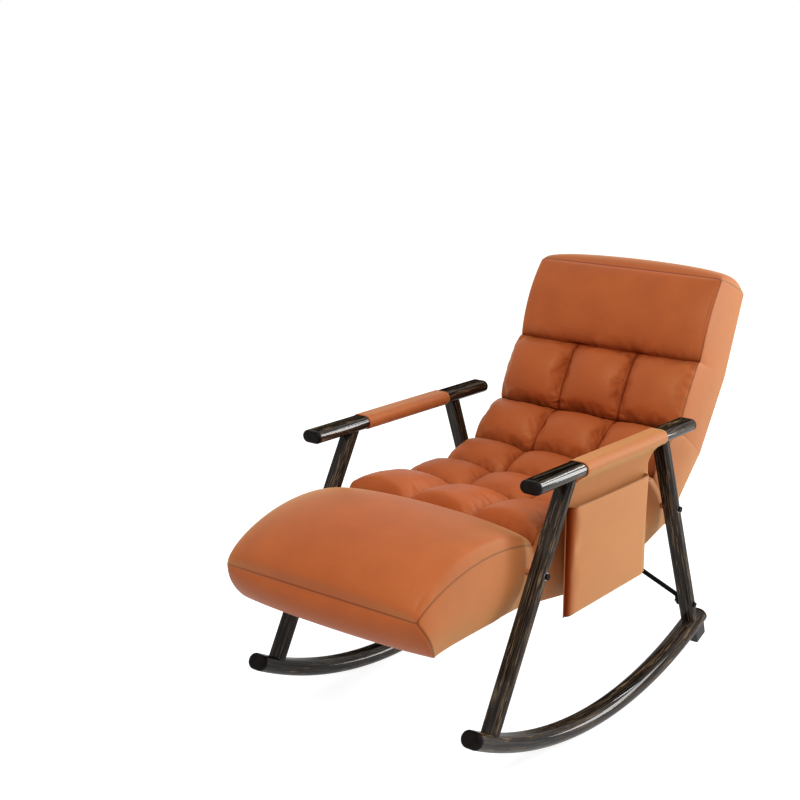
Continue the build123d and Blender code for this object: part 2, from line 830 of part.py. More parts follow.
with BuildPart() as brace_nuts:
    low_nut_x = brace_outer_x - brace_nut_height
    add(both_sides(hex_nut(brace_bolt, brace_head_radius, brace_nut_height, brace_bore, low_nut_x)))
    centre_nut_x = -eye_outer_x - brace_nut_height
    add(hex_nut(brace_top, brace_head_radius, brace_nut_height, brace_bore, centre_nut_x))
save(brace_nuts.part, "brace_nuts")


# Cushions
def pad_section(seam, under, half_width, columns, rise, crown, bulge):
    """Draw one cross-section of a cushion.

    The section stands on the underside, its sides bow out, and each column of its top is an arc.
    """
    upright = Vector(0, seam[0] - under[0], seam[1] - under[1])
    top = upright.length + rise
    column = 2 * half_width / columns
    with BuildSketch(Plane(at_x(0, under), (1, 0, 0), Vector(1, 0, 0).cross(upright))) as section:
        with BuildLine():
            Line((-half_width, 0), (half_width, 0))
            ThreePointArc((half_width, 0), (half_width + bulge, top / 2), (half_width, top))
            for number in range(columns):
                right = half_width - number * column
                ThreePointArc((right, top), (right - column / 2, top + crown), (right - column, top))
            ThreePointArc((-half_width, top), (-half_width - bulge, top / 2), (-half_width, 0))
        make_face()
    return section.sketch


narrow = pad_half_width - pad_pinch
wide = pad_half_width - pad_side_bulge / 2


def shifted(point, distance):
    """Return a point moved along Y."""
    return (point[0] + distance, point[1])


def tuft_row(first, columns, rise, crown, front_gap=0.0, rear_gap=0.0):
    """Return the three sections of a row between two stations: seam, middle, seam."""
    front = (shifted(seam_points[first], front_gap), shifted(under_points[first], front_gap))
    rear = (shifted(seam_points[first + 1], -rear_gap), shifted(under_points[first + 1], -rear_gap))
    mid_seam = middle(front[0], rear[0])
    mid_under = middle(front[1], rear[1])
    return [
        pad_section(*front, narrow, columns, 0.0, station_crown, pad_side_bulge),
        pad_section(mid_seam, mid_under, wide, columns, rise, crown, pad_side_bulge),
        pad_section(*rear, narrow, columns, 0.0, station_crown, pad_side_bulge),
    ]


floor_z = min(point[1] for point in under_points) - tray_depth


def hinge_recess(hinge, turn, hub_reach, hub_outer_x):
    """Build the hollow round a pair of hinges: hub, spring, nuts and the holes for the spacers."""
    reach = rivet_reach + 2 * spring_eye_radius
    front = hinge.centre[0] - (reach if turn < 0 else hub_radius + foot_radius)
    rear = hinge.centre[0] + (reach if turn > 0 else hub_radius + foot_radius)
    with BuildPart() as recess:
        add(cross_rod(hinge.centre, hub_reach, pocket_inner_x, hub_outer_x))
        box = ((front, floor_z), (rear, floor_z), (rear, hinge.centre[1]), (front, hinge.centre[1]))
        add(side_prism(box, pocket_inner_x, pocket_outer_x))
        add(cross_rod(hinge.centre, spacer_radius + strap_gap, pocket_inner_x, pad_half_width + skirt))
    return both_sides(recess.part)


# The back's discs and rails need room to fold forward over the seat
back_recess = hinge_recess(back_axis, -1, fold_reach, fold_outer_x)
legrest_recess = hinge_recess(legrest_axis, 1, hub_radius + spring_eye_radius, pocket_outer_x)
rail_slope = bearing(seat_rail_front, seat_rail_rear)
tray_front = polar(ahead(seat_rail_front, seat_rail_rear, -2 * hub_radius), tray_rise, rail_slope + 90)
tray_rear = polar(ahead(seat_rail_rear, seat_rail_front, -3 * hub_radius), tray_rise, rail_slope + 90)
seat_tray = side_prism(
    ((tray_front[0], floor_z), (tray_rear[0], floor_z), tray_rear, tray_front),
    -tray_half_width,
    tray_half_width,
)

with BuildPart() as front_seat_pad:
    loft(tuft_row(1, tuft_columns, front_tuft_rise, tuft_crown))
    add(seat_tray, mode=Mode.SUBTRACT)
    add(legrest_recess, mode=Mode.SUBTRACT)
save(front_seat_pad.part, "front_seat_pad")

with BuildPart() as seat_pad:
    loft(tuft_row(2, tuft_columns, tuft_seam_rise, tuft_crown))
    loft(tuft_row(3, tuft_columns, tuft_seam_rise, tuft_crown))
    add(seat_tray, mode=Mode.SUBTRACT)
    add(back_recess, mode=Mode.SUBTRACT)
save(seat_pad.part, "seat_pad")

rail_tunnel = both_sides(bent_rod(rail_x, back_path, list(back_bend_radii), tube_radius + strap_gap))

with BuildPart() as lumbar_pad:
    loft(tuft_row(4, tuft_columns, tuft_seam_rise, tuft_crown, front_gap=pad_joint_gap))
    add(rail_tunnel, mode=Mode.SUBTRACT)
    add(back_recess, mode=Mode.SUBTRACT)
save(lumbar_pad.part, "lumbar_pad")

# The back's tray, open to the rear, stops a skirt's width below the headrest's top
tray_inner_top = ahead(depth(7, tray_depth), depth(6, tray_depth), skirt)
tray_outer_top = ahead(depth(7, -tray_depth), depth(6, -tray_depth), skirt)
back_tray = side_prism(
    (
        ahead(depth(5, -tray_depth), depth(6, -tray_depth), -pad_joint_gap),
        depth(6, -tray_depth),
        tray_outer_top,
        tray_inner_top,
        depth(6, tray_depth),
        ahead(depth(5, tray_depth), depth(6, tray_depth), -pad_joint_gap),
    ),
    -tray_half_width,
    tray_half_width,
)

with BuildPart() as back_pad:
    loft(tuft_row(5, tuft_columns, tuft_seam_rise, tuft_crown))
    add(back_tray, mode=Mode.SUBTRACT)
    add(rail_tunnel, mode=Mode.SUBTRACT)
save(back_pad.part, "back_pad")

headrest_mid_seam = middle(seam_points[6], seam_points[7])
headrest_mid_under = middle(under_points[6], under_points[7])
top_thickness = hypot(seam_points[7][0] - under_points[7][0], seam_points[7][1] - under_points[7][1])
top_inset = headrest_top_share * top_thickness
top_seam = ahead(seam_points[7], seam_points[6], -headrest_top_rise)
top_under = ahead(under_points[7], under_points[6], -headrest_top_rise)
ridge_seam = ahead(top_seam, top_under, top_inset)
ridge_under = ahead(top_under, top_seam, top_inset)
ridge_half = narrow - headrest_top_inset
with BuildPart() as headrest_pad:
    loft(
        [
            pad_section(seam_points[6], under_points[6], narrow, 1, 0.0, station_crown, pad_side_bulge),
            pad_section(
                headrest_mid_seam, headrest_mid_under, wide, 1, headrest_rise, headrest_crown, pad_side_bulge
            ),
            pad_section(seam_points[7], under_points[7], narrow, 1, 0.0, headrest_top_crown, pad_side_bulge),
            pad_section(ridge_seam, ridge_under, ridge_half, 1, 0.0, station_crown, pad_side_bulge),
        ]
    )
    add(back_tray, mode=Mode.SUBTRACT)
save(headrest_pad.part, "headrest_pad")

# The leg rest's hollow holds its tubes, and is open to the rear for the hinges
legrest_slope = bearing(legrest_rail_front, legrest_rail_start)
legrest_top_front = polar(legrest_rail_front, tray_rise, legrest_slope + 90)
legrest_top_front = ahead(legrest_top_front, polar(legrest_rail_start, tray_rise, legrest_slope + 90), -skirt)
legrest_top_rear = polar(legrest_rail_start, tray_rise, legrest_slope + 90)
recess_top_z = legrest_hinge[1] + hub_radius + 2
legrest_tray = side_prism(
    (
        (legrest_top_front[0], floor_z),
        (legrest_hinge[0] + 3 * hub_radius, floor_z),
        (legrest_hinge[0] + 3 * hub_radius, recess_top_z),
        (legrest_hinge[0] - hub_radius - 2, recess_top_z),
        legrest_top_rear,
        legrest_top_front,
    ),
    -tray_half_width,
    tray_half_width,
)

with BuildPart() as legrest_pad:
    rest_rear_seam = shifted(seam_points[1], -pad_joint_gap)
    rest_rear_under = shifted(under_points[1], -pad_joint_gap)
    rest_mid_seam = middle(seam_points[0], rest_rear_seam)
    rest_mid_under = middle(under_points[0], rest_rear_under)
    loft(
        [
            pad_section(
                seam_points[0], under_points[0], narrow, 1, 0.0, legrest_front_crown, pad_side_bulge
            ),
            pad_section(rest_mid_seam, rest_mid_under, wide, 1, legrest_arch, legrest_crown, pad_side_bulge),
            pad_section(rest_rear_seam, rest_rear_under, narrow, 1, 0.0, station_crown, pad_side_bulge),
        ]
    )
    add(legrest_tray, mode=Mode.SUBTRACT)
    add(
        both_sides(
            cross_rod(legrest_hinge, spacer_radius + strap_gap, pocket_inner_x, pad_half_width + skirt)
        ),
        mode=Mode.SUBTRACT,
    )
save(legrest_pad.part, "legrest_pad")


# Cloth covers that close the hollows from below and behind
def cover_band(points):
    """Build a thin cover along an underside line, lying just inside it."""
    lower = [(y, z + cover_gap) for y, z in points]
    upper = [(y, z + cover_gap + cover_thickness) for y, z in reversed(points)]
    half = tray_half_width - cover_gap
    return side_prism(lower + upper, -half, half)


def under_at(station, y):
    """Return the point of an underside line at a given y, after a station."""
    start = under_points[station]
    end = under_points[station + 1]
    return (y, start[1] + (end[1] - start[1]) * (y - start[0]) / (end[0] - start[0]))


seat_cover_line = [
    under_at(1, seat_cover_front_y),
    under_points[2],
    under_points[3],
    under_at(3, seat_cover_rear_y),
]
save(cover_band(seat_cover_line), "seat_bottom_cover")

legrest_cover_line = [
    under_at(0, legrest_top_front[0] + cover_gap),
    under_at(0, legrest_cover_rear_y),
]
save(cover_band(legrest_cover_line), "legrest_bottom_cover")

cover_outer = cover_gap
cover_inner = cover_gap + cover_thickness
back_cover_top = ahead(depth(7, cover_outer), depth(6, cover_outer), skirt + cover_gap)
back_cover_top_inner = ahead(depth(7, cover_inner), depth(6, cover_inner), skirt + cover_gap)
back_cover = side_prism(
    (
        depth(5, cover_outer),
        depth(6, cover_outer),
        back_cover_top,
        back_cover_top_inner,
        depth(6, cover_inner),
        depth(5, cover_inner),
    ),
    -tray_half_width + cover_gap,
    tray_half_width - cover_gap,
)
save(back_cover, "back_cover")
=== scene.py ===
"""Looks of the folding rocking lounge chair: cushion, sleeves, pocket, finishes, studio and camera."""

import json
import logging
import math
from dataclasses import dataclass, field
from enum import Enum
from typing import Iterable, Sequence

import bmesh
import bpy
import numpy as np
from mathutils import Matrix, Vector


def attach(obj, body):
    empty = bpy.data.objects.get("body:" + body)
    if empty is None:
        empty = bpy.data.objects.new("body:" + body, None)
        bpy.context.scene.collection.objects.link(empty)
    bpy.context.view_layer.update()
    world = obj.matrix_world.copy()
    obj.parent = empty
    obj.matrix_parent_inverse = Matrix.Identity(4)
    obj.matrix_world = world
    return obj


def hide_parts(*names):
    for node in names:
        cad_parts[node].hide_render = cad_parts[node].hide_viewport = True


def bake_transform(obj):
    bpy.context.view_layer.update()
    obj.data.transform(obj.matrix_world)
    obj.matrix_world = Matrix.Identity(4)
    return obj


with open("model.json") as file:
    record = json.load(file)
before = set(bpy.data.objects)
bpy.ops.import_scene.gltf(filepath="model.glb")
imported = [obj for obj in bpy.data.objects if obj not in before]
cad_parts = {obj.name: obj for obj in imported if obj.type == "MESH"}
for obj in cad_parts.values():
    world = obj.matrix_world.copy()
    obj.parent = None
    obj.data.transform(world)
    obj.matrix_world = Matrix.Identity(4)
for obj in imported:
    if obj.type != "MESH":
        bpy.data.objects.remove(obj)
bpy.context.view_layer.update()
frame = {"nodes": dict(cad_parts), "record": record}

LOG = logging.getLogger("chair")
MM = 0.001
# Distance past which seams and creases paint no shade on a surface
FAR_MM = 60.0
# Numbers of the Mix node's sockets for colours
FACTOR, FIRST, SECOND, RESULT = 0, 6, 7, 2
Pair = tuple[float, float]
Triple = tuple[float, float, float]
Faces = list[list[int]]
Inputs = dict[int | str, object]
Socket = bpy.types.NodeSocket


# Small helpers


def linear(code: str) -> tuple[float, float, float, float]:
    """Turn a hex sRGB colour into a linear one.

    Args:
        code: Six hex digits.

    Returns:
        Linear red, green, blue and an alpha of one.
    """
    values = [int(code[start : start + 2], 16) / 255 for start in (0, 2, 4)]
    red, green, blue = (v / 12.92 if v <= 0.04045 else ((v + 0.055) / 1.055) ** 2.4 for v in values)
    return (red, green, blue, 1.0)


def per_mm(size: float) -> float:
    """Return the scale of a pattern whose features are a given size in mm."""
    return 1 / (size * MM)


def bump_curve(share: np.ndarray | float, power: float) -> np.ndarray | float:
    """Return a hump, zero at both ends of a span and one in its middle; a power below one makes it fuller."""
    return np.clip(4 * np.asarray(share) * (1 - np.asarray(share)), 0, 1) ** power


def smooth_step(share: float) -> float:
    """Return a smooth step from zero to one while a share runs from zero to one."""
    share = min(1.0, max(0.0, share))
    return share * share * (3 - 2 * share)


def mix(start: Pair, end: Pair, share: float) -> np.ndarray:
    """Return the point a share of the way between two side-view points."""
    return np.asarray(start, float) * (1 - share) + np.asarray(end, float) * share


def node_box(name: str) -> tuple[np.ndarray, np.ndarray]:
    """Return the box round a CAD node.

    Args:
        name: The node's name.

    Returns:
        The least and the greatest corner, in mm.
    """
    node = frame["nodes"][name]
    points = np.array([node.matrix_world @ vertex.co for vertex in node.data.vertices]) / MM
    return points.min(axis=0), points.max(axis=0)


def linked(name: str, data: bpy.types.ID) -> bpy.types.Object:
    """Add an object to the scene.

    Args:
        name: The object's name.
        data: Its mesh, light or camera.

    Returns:
        The new object.
    """
    item = bpy.data.objects.new(name, data)
    bpy.context.scene.collection.objects.link(item)
    return item


def aimed(name: str, data: bpy.types.ID, place: Triple, way: Vector) -> bpy.types.Object:
    """Add a light or camera to the scene.

    Args:
        name: The object's name.
        data: Its light or camera.
        place: Where it stands, in metres.
        way: The direction in which it looks.

    Returns:
        The new object.
    """
    item = linked(name, data)
    item.location = place
    item.rotation_euler = way.to_track_quat("-Z", "Y").to_euler()
    return item


def quads(numbers: np.ndarray) -> Faces:
    """Return the faces between the rows and columns of a grid of vertex numbers."""
    corners = (numbers[:-1, :-1], numbers[:-1, 1:], numbers[1:, 1:], numbers[1:, :-1])
    return np.stack(corners, axis=-1).reshape(-1, 4).tolist()


def tube(rings: int, loop: int) -> Faces:
    """Return the faces between closed rings that have the same number of points."""
    numbers = np.arange(rings * loop).reshape(rings, loop)
    return quads(np.column_stack([numbers, numbers[:, 0]]))


def mesh_object(name: str, points: np.ndarray, faces: Faces, turn: bool = True) -> bpy.types.Object:
    """Make a smooth mesh object.

    Args:
        name: The object's name.
        points: Points in mm, one per row.
        faces: Vertex numbers of each face.
        turn: Whether faces are turned outwards.

    Returns:
        The new object.
    """
    data = bpy.data.meshes.new(name)
    data.from_pydata((points * MM).tolist(), [], faces)
    if turn:
        work = bmesh.new()
        work.from_mesh(data)
        bmesh.ops.recalc_face_normals(work, faces=work.faces)
        work.to_mesh(data)
        work.free()
    data.polygons.foreach_set("use_smooth", [True] * len(data.polygons))
    data.update()
    return linked(name, data)


def point_values(item: bpy.types.Object, **values: np.ndarray) -> None:
    """Store numbers per vertex on an object's mesh.

    Args:
        item: The object.
        values: One number per vertex, by the attribute's name.
    """
    for name, numbers in values.items():
        attribute = item.data.attributes.new(name, "FLOAT", "POINT")
        attribute.data.foreach_set("value", numbers.astype(np.float32))


# Finishes


class Tree:
    """The node tree of a material or world."""

    def __init__(self, owner: bpy.types.Material | bpy.types.World) -> None:
        """Start from the nodes that every material or world has.

        Args:
            owner: The material or world.
        """
        owner.use_nodes = True
        self.owner = owner
        self.nodes = owner.node_tree.nodes
        self.links = owner.node_tree.links

    def put(self, node: bpy.types.Node, values: Inputs) -> None:
        """Set or link a node's inputs.

        Args:
            node: The node.
            values: Constants, or sockets to link, by the input's name or number.
        """
        for key, value in values.items():
            if isinstance(value, Socket):
                self.links.new(value, node.inputs[key])
            else:
                node.inputs[key].default_value = value

    def add(self, kind: str, values: Inputs, out: int | str = 0, **settings: object) -> Socket:
        """Add one node with its settings and links.

        Args:
            kind: The node's type name.
            values: Constants, or sockets to link, by the input's name or number.
            out: Name or number of the output that is used.
            settings: Properties of the node.

        Returns:
            The output's socket.
        """
        node = self.nodes.new(kind)
        for key, value in settings.items():
            setattr(node, key, value)
        self.put(node, values)
        return node.outputs[out]

    def between(self, value: Socket, start: float, end: float, low: str, high: str) -> Socket:
        """Run from one colour to another while a value runs between two bounds.

        Args:
            value: The value.
            start: The value at which the change starts.
            end: The value at which it ends.
            low: The first colour, in hex.
            high: The last colour, in hex.

        Returns:
            The colour's socket.
        """
        share = self.add("ShaderNodeMapRange", {"Value": value, "From Min": start, "From Max": end})
        values = {FACTOR: share, FIRST: linear(low), SECOND: linear(high)}
        return self.add("ShaderNodeMix", values, RESULT, data_type="RGBA")

    def finish(self, **values: object) -> bpy.types.Material:
        """Set or link the shader's inputs.

        Args:
            values: Constants, or sockets to link, by the input's name with underscores for spaces.

        Returns:
            The material.
        """
        inputs = {key.replace("_", " "): value for key, value in values.items()}
        self.put(self.nodes["Principled BSDF"], inputs)
        return self.owner


# Painted shade in creases and along seams: the distance's attribute, its reach in mm and the share of the
# shade colour on the line
CREASE_SHADES = (
    ("row_mm", 36.0, 0.38),
    ("column_mm", 26.0, 0.32),
    ("row_mm", 10.0, 0.9),
    ("column_mm", 9.0, 0.85),
    ("seam_mm", 3.4, 0.85),
)
# Pull folds beside creases: the distance's attribute and the folds' size along x, y and z, in mm
PULLS = (("row_mm", (35.71, 125.0, 125.0)), ("column_mm", (125.0, 41.67, 41.67)))


@dataclass(frozen=True)
class Leatherette:
    """Cloth coated with embossed plastic, with sizes in mm."""

    name: str
    light: str
    dark: str
    # Colour of the painted shade in creases, along seams and on the pocket's gusset
    crease_shade: str
    haze: float = 0.85
    shine: float = 0.32
    cloud_mm: float = 71.43
    speckle_mm: float = 6.25
    dent_mm: float = 45.45
    # Really about 0.5 and 0.2 mm, and drawn coarser to show
    grain_mm: float = 2.381
    pore_mm: float = 1.111
    pull_reach: float = 48.0
    # Noise at which a pull fold neither rises nor sinks
    pull_middle: float = 0.58

    @staticmethod
    def near(tree: Tree, name: str, reach: float, at_line: float, beyond: float) -> Socket:
        """Change a factor smoothly with the distance to a line.

        Args:
            tree: The material's tree.
            name: The attribute that holds the distance, in mm.
            reach: The distance at which the change ends, in mm.
            at_line: The factor on the line.
            beyond: The factor away from the line.

        Returns:
            The factor's socket.
        """
        gap = tree.add("ShaderNodeAttribute", {}, "Fac", attribute_name=name)
        values = {"Value": gap, "From Max": reach, "To Min": at_line, "To Max": beyond}
        return tree.add("ShaderNodeMapRange", values, interpolation_type="SMOOTHSTEP")

    def relief(self, tree: Tree, place: Socket) -> Socket:
        """Raise pores, grain, dents and pull folds, and sink the seams.

        Args:
            tree: The material's tree.
            place: The surface's coordinates.

        Returns:
            The normal's socket.
        """
        grain, dents = (
            tree.add("ShaderNodeTexNoise", {"Vector": place, "Scale": per_mm(size), "Detail": detail})
            for size, detail in ((self.grain_mm, 4.0), (self.dent_mm, 2.0))
        )
        folds = []
        for name, sizes in PULLS:
            scale = tuple(per_mm(size) for size in sizes)
            along = tree.add("ShaderNodeVectorMath", {0: place, 1: scale}, operation="MULTIPLY")
            values = {"Vector": along, "Scale": 1.0, "Detail": 2.0, "Distortion": 0.4}
            noise = tree.add("ShaderNodeTexNoise", values)
            level = tree.add("ShaderNodeMath", {0: noise, 1: self.pull_middle}, operation="SUBTRACT")
            fade = self.near(tree, name, self.pull_reach, 1.0, 0.0)
            folds.append(tree.add("ShaderNodeMath", {0: level, 1: fade}, operation="MULTIPLY"))
        seam = self.near(tree, "seam_mm", 4.0, 0.0, 1.0)
        pores = tree.add("ShaderNodeTexVoronoi", {"Vector": place, "Scale": per_mm(self.pore_mm)})
        normal = tree.add("ShaderNodeBump", {"Height": pores, "Strength": 0.10, "Distance": 0.5 * MM})
        for height, strength, depth in (
            (grain, 0.08, 0.8),
            (dents, 0.06, 4.0),
            (folds[0], 0.8, 26.0),
            (folds[1], 0.8, 26.0),
            (seam, 0.15, 1.6),
        ):
            values = {"Height": height, "Strength": strength, "Distance": depth * MM, "Normal": normal}
            normal = tree.add("ShaderNodeBump", values)
        return normal

    def build(self) -> bpy.types.Material:
        """Build the material.

        Returns:
            The material.
        """
        tree = Tree(bpy.data.materials.new(self.name))
        place = tree.add("ShaderNodeTexCoord", {}, "Object")
        values = {"Vector": place, "Scale": per_mm(self.cloud_mm), "Detail": 5.0}
        cloud = tree.add("ShaderNodeTexNoise", values)
        values = {"Vector": place, "Scale": per_mm(self.speckle_mm), "Detail": 3.0}
        speckle = tree.add("ShaderNodeTexNoise", values, "Color")
        tone = tree.between(cloud, 0.3, 0.7, self.dark, self.light)
        values = {FACTOR: 0.10, FIRST: tone, SECOND: speckle}
        tone = tree.add("ShaderNodeMix", values, RESULT, data_type="RGBA", blend_type="SOFT_LIGHT")
        # Painted shade: the crease shade colour is mixed in near creases and seams
        for name, reach, shade in CREASE_SHADES:
            near = self.near(tree, name, reach, shade, 0.0)
            values = {FACTOR: near, FIRST: tone, SECOND: linear(self.crease_shade)}
            tone = tree.add("ShaderNodeMix", values, RESULT, data_type="RGBA")
        # The reflection is dimmed near creases: painted shade on the mirror
        rows = self.near(tree, "row_mm", 20.0, 0.1, 1.0)
        columns = self.near(tree, "column_mm", 20.0, 0.1, self.shine)
        boxing = tree.add("ShaderNodeAttribute", {}, "Fac", attribute_name="boxing")
        return tree.finish(
            Base_Color=tone,
            Normal=self.relief(tree, place),
            Roughness=tree.add("ShaderNodeMapRange", {"Value": cloud, "To Min": 0.46, "To Max": 0.56}),
            Specular_IOR_Level=tree.add("ShaderNodeMath", {0: rows, 1: columns}, operation="MULTIPLY"),
            Specular_Tint=linear("fff6bc"),
            Sheen_Weight=tree.add("ShaderNodeMapRange", {"Value": boxing, "To Max": self.haze}),
            Sheen_Roughness=0.5,
            Sheen_Tint=linear("ffdd96"),
        )


class Grain(Enum):
    """Which way the printed grain runs on a tube."""

    ARM = "arm"
    FRONT_LEG = "front_leg"
    REAR_LEG = "rear_leg"
    ROCKER = "rocker"


@dataclass(frozen=True)
class WoodPrint:
    """Wood grain printed on steel tube under a clear coat, with sizes in mm."""

    name: str
    grain: Grain
    coat: float
    body: str = "2c221c"
    ground: str = "0e0b09"
    streak: str = "8f7353"
    thread: str = "6b5c4c"
    broad_mm: float = 14.29
    streak_mm: float = 2.083
    thread_mm: float = 1.923
    # Really about 0.2 mm, and drawn coarser to show
    hair_mm: float = 1.111
    # How many times longer than wide streaks and threads are
    streak_length: float = 22.22
    thread_length: float = 66.67
    # Slope of the front and of the rear legs, in degrees
    lean: Pair = (-61.7, 70.0)
    # The rocker's arc, in metres: its centre's height and how far that lies to the front
    arc_centre: float = 1.018
    arc_front: float = 0.020

    def along(self, tree: Tree) -> Socket:
        """Turn the coordinates so that their second axis runs along the tube.

        Args:
            tree: The material's tree.

        Returns:
            The coordinates' socket, in metres.
        """
        place = tree.add("ShaderNodeTexCoord", {}, "Object")
        if self.grain is Grain.ARM:
            return place
        if self.grain is not Grain.ROCKER:
            front, rear = self.lean
            lean = math.radians(rear if self.grain is Grain.REAR_LEG else front)
            return tree.add("ShaderNodeMapping", {"Vector": place, "Rotation": (lean, 0.0, 0.0)})
        parts = tree.add("ShaderNodeSeparateXYZ", {"Vector": place}).node.outputs
        rear = tree.add("ShaderNodeMath", {0: parts["Y"], 1: self.arc_front}, operation="ADD")
        down = tree.add("ShaderNodeMath", {0: self.arc_centre, 1: parts["Z"]}, operation="SUBTRACT")
        angle = tree.add("ShaderNodeMath", {0: rear, 1: down}, operation="ARCTAN2")
        flat = tree.add("ShaderNodeCombineXYZ", {"Y": rear, "Z": down})
        radius = tree.add("ShaderNodeVectorMath", {0: flat}, "Value", operation="LENGTH")
        return tree.add("ShaderNodeCombineXYZ", {"X": parts["X"], "Y": angle, "Z": radius})

    def build(self) -> bpy.types.Material:
        """Build the material.

        Returns:
            The material.
        """
        tree = Tree(bpy.data.materials.new(self.name))
        place = self.along(tree)
        short, long = (
            tree.add("ShaderNodeMapping", {"Vector": place, "Scale": (1.0, 1 / length, 1.0)})
            for length in (self.streak_length, self.thread_length)
        )
        broad, lines, hair, threads = (
            tree.add(
                "ShaderNodeTexNoise",
                {"Vector": way, "Scale": per_mm(size), "Detail": detail, "Distortion": warp},
            )
            for way, size, detail, warp in (
                (short, self.broad_mm, 3.0, 0.0),
                (short, self.streak_mm, 3.0, 0.3),
                (short, self.hair_mm, 3.0, 0.0),
                (long, self.thread_mm, 2.0, 0.0),
            )
        )
        tone = tree.between(broad, 0.38, 0.62, self.ground, self.body)
        values = {FACTOR: 0.35, FIRST: tone, SECOND: hair.node.outputs["Color"]}
        tone = tree.add("ShaderNodeMix", values, RESULT, data_type="RGBA", blend_type="MULTIPLY")
        light, patch, faint = (
            tree.add(
                "ShaderNodeMapRange", {"Value": noise, "From Min": low, "From Max": high, "To Max": most}
            )
            for noise, low, high, most in (
                (lines, 0.56, 0.66, 1.0),
                (broad, 0.43, 0.57, 1.0),
                (threads, 0.50, 0.68, 0.5),
            )
        )
        streaks = tree.add("ShaderNodeMath", {0: light, 1: patch}, operation="MULTIPLY")
        for share, colour in ((streaks, self.streak), (faint, self.thread)):
            values = {FACTOR: share, FIRST: tone, SECOND: linear(colour)}
            tone = tree.add("ShaderNodeMix", values, RESULT, data_type="RGBA")
        facing = tree.add("ShaderNodeNewGeometry", {}, "Normal")
        rise = tree.add("ShaderNodeSeparateXYZ", {"Vector": facing}, "Z")
        # The coat fades on flat tops, which would mirror the white studio
        values = {"Value": rise, "From Min": 0.90, "From Max": 0.99, "To Min": self.coat, "To Max": 0.0}
        return tree.finish(
            Base_Color=tone,
            Roughness=tree.add("ShaderNodeMapRange", {"Value": lines, "To Min": 0.24, "To Max": 0.40}),
            Normal=tree.add("ShaderNodeBump", {"Height": hair, "Strength": 0.12, "Distance": 0.3 * MM}),
            Specular_IOR_Level=0.0,
            Coat_Weight=tree.add("ShaderNodeMapRange", values, interpolation_type="SMOOTHSTEP"),
            Coat_Roughness=0.06,
        )


@dataclass(frozen=True)
class Coated:
    """Coated, moulded or plated surface with faint unevenness."""

    name: str
    low: str
    high: str
    cloud_mm: float
    rough: Pair
    metal: float = 0.0
    strength: float = 0.08
    shine: float = 0.5
    # Really about 0.1 mm, and drawn coarser to show
    fine_mm: float = 0.6667

    def build(self) -> bpy.types.Material:
        """Build the material.

        Returns:
            The material.
        """
        tree = Tree(bpy.data.materials.new(self.name))
        place = tree.add("ShaderNodeTexCoord", {}, "Object")
        cloud, fine = (
            tree.add("ShaderNodeTexNoise", {"Vector": place, "Scale": per_mm(size), "Detail": detail})
            for size, detail in ((self.cloud_mm, 4.0), (self.fine_mm, 2.0))
        )
        least, most = self.rough
        relief = {"Height": fine, "Strength": self.strength, "Distance": 0.3 * MM}
        return tree.finish(
            Base_Color=tree.between(cloud, 0.35, 0.65, self.low, self.high),
            Roughness=tree.add("ShaderNodeMapRange", {"Value": cloud, "To Min": least, "To Max": most}),
            Normal=tree.add("ShaderNodeBump", relief),
            Metallic=self.metal,
            Specular_IOR_Level=self.shine,
        )


@dataclass(frozen=True)
class Weave:
    """Plain woven or spun cloth, with threads drawn about twice as coarse as real ones to show."""

    name: str
    low: str
    high: str
    thread_mm: float
    cloud_mm: float = 33.33
    # Length in metres after which a wave pattern of scale one repeats
    repeat: float = 0.31

    def build(self) -> bpy.types.Material:
        """Build the material.

        Returns:
            The material.
        """
        tree = Tree(bpy.data.materials.new(self.name))
        place = tree.add("ShaderNodeTexCoord", {}, "Object")
        scale = self.repeat * per_mm(self.thread_mm)
        values = {"Vector": place, "Scale": scale, "Distortion": 0.6, "Detail": 1.0}
        warp, weft = (tree.add("ShaderNodeTexWave", values, "Fac", bands_direction=way) for way in "XY")
        cross = tree.add("ShaderNodeMix", {FACTOR: 0.5, FIRST: warp, SECOND: weft}, RESULT, data_type="RGBA")
        values = {"Vector": place, "Scale": per_mm(self.cloud_mm), "Detail": 4.0}
        cloud = tree.add("ShaderNodeTexNoise", values)
        return tree.finish(
            Base_Color=tree.between(cloud, 0.3, 0.7, self.low, self.high),
            Normal=tree.add("ShaderNodeBump", {"Height": cross, "Strength": 0.35, "Distance": 0.4 * MM}),
            Roughness=0.85,
        )


# Polyurethane leatherette: soft matte orange brown, with deep red brown painted shade in creases, pale where
# it turns away
LEATHER = Leatherette("leatherette", "b55a2c", "aa5228", "661a02")
# The same on sleeves and pocket, painted a little paler and given more sheen, as a lit copy that stands in
# for the light falling on them
PALER_POCKET_LEATHER = Leatherette("leatherette_pocket_painted_paler", "b45d2e", "ac572a", "661a02", 1.0)
# Black spun polypropylene: dull, with a fine even weave
DUST_CLOTH = Weave("dust_cloth", "1b1a19", "262422", 1.2)
# Black polypropylene webbing: dull, with coarser threads
WEBBING = Weave("webbing", "20201f", "2b2a29", 1.6)
# Black moulded polypropylene: satin, a little brown, with hardly any mirror
PLUG = Coated("plug_plastic", "0d0a09", "1a1411", 11.11, (0.34, 0.46), shine=0.06)
# Black moulded rubber: dull and slightly uneven
RUBBER = Coated("stop_rubber", "121212", "1c1b1a", 16.67, (0.62, 0.80), strength=0.15)
# Blackened steel: almost black with a faint shine
BLACK_STEEL = Coated("black_steel", "090909", "111010", 8.333, (0.30, 0.45), shine=0.04)
# Nylon dyed like the leatherette: plain and half matte
NYLON = Coated("spacer_nylon", "98552f", "a55f37", 12.5, (0.45, 0.6), shine=0.3)
# Zinc plated steel: pale grey metal, slightly clouded
ZINC = Coated("zinc_steel", "8d8f92", "a5a6a8", 5.0, (0.25, 0.40), metal=1.0)
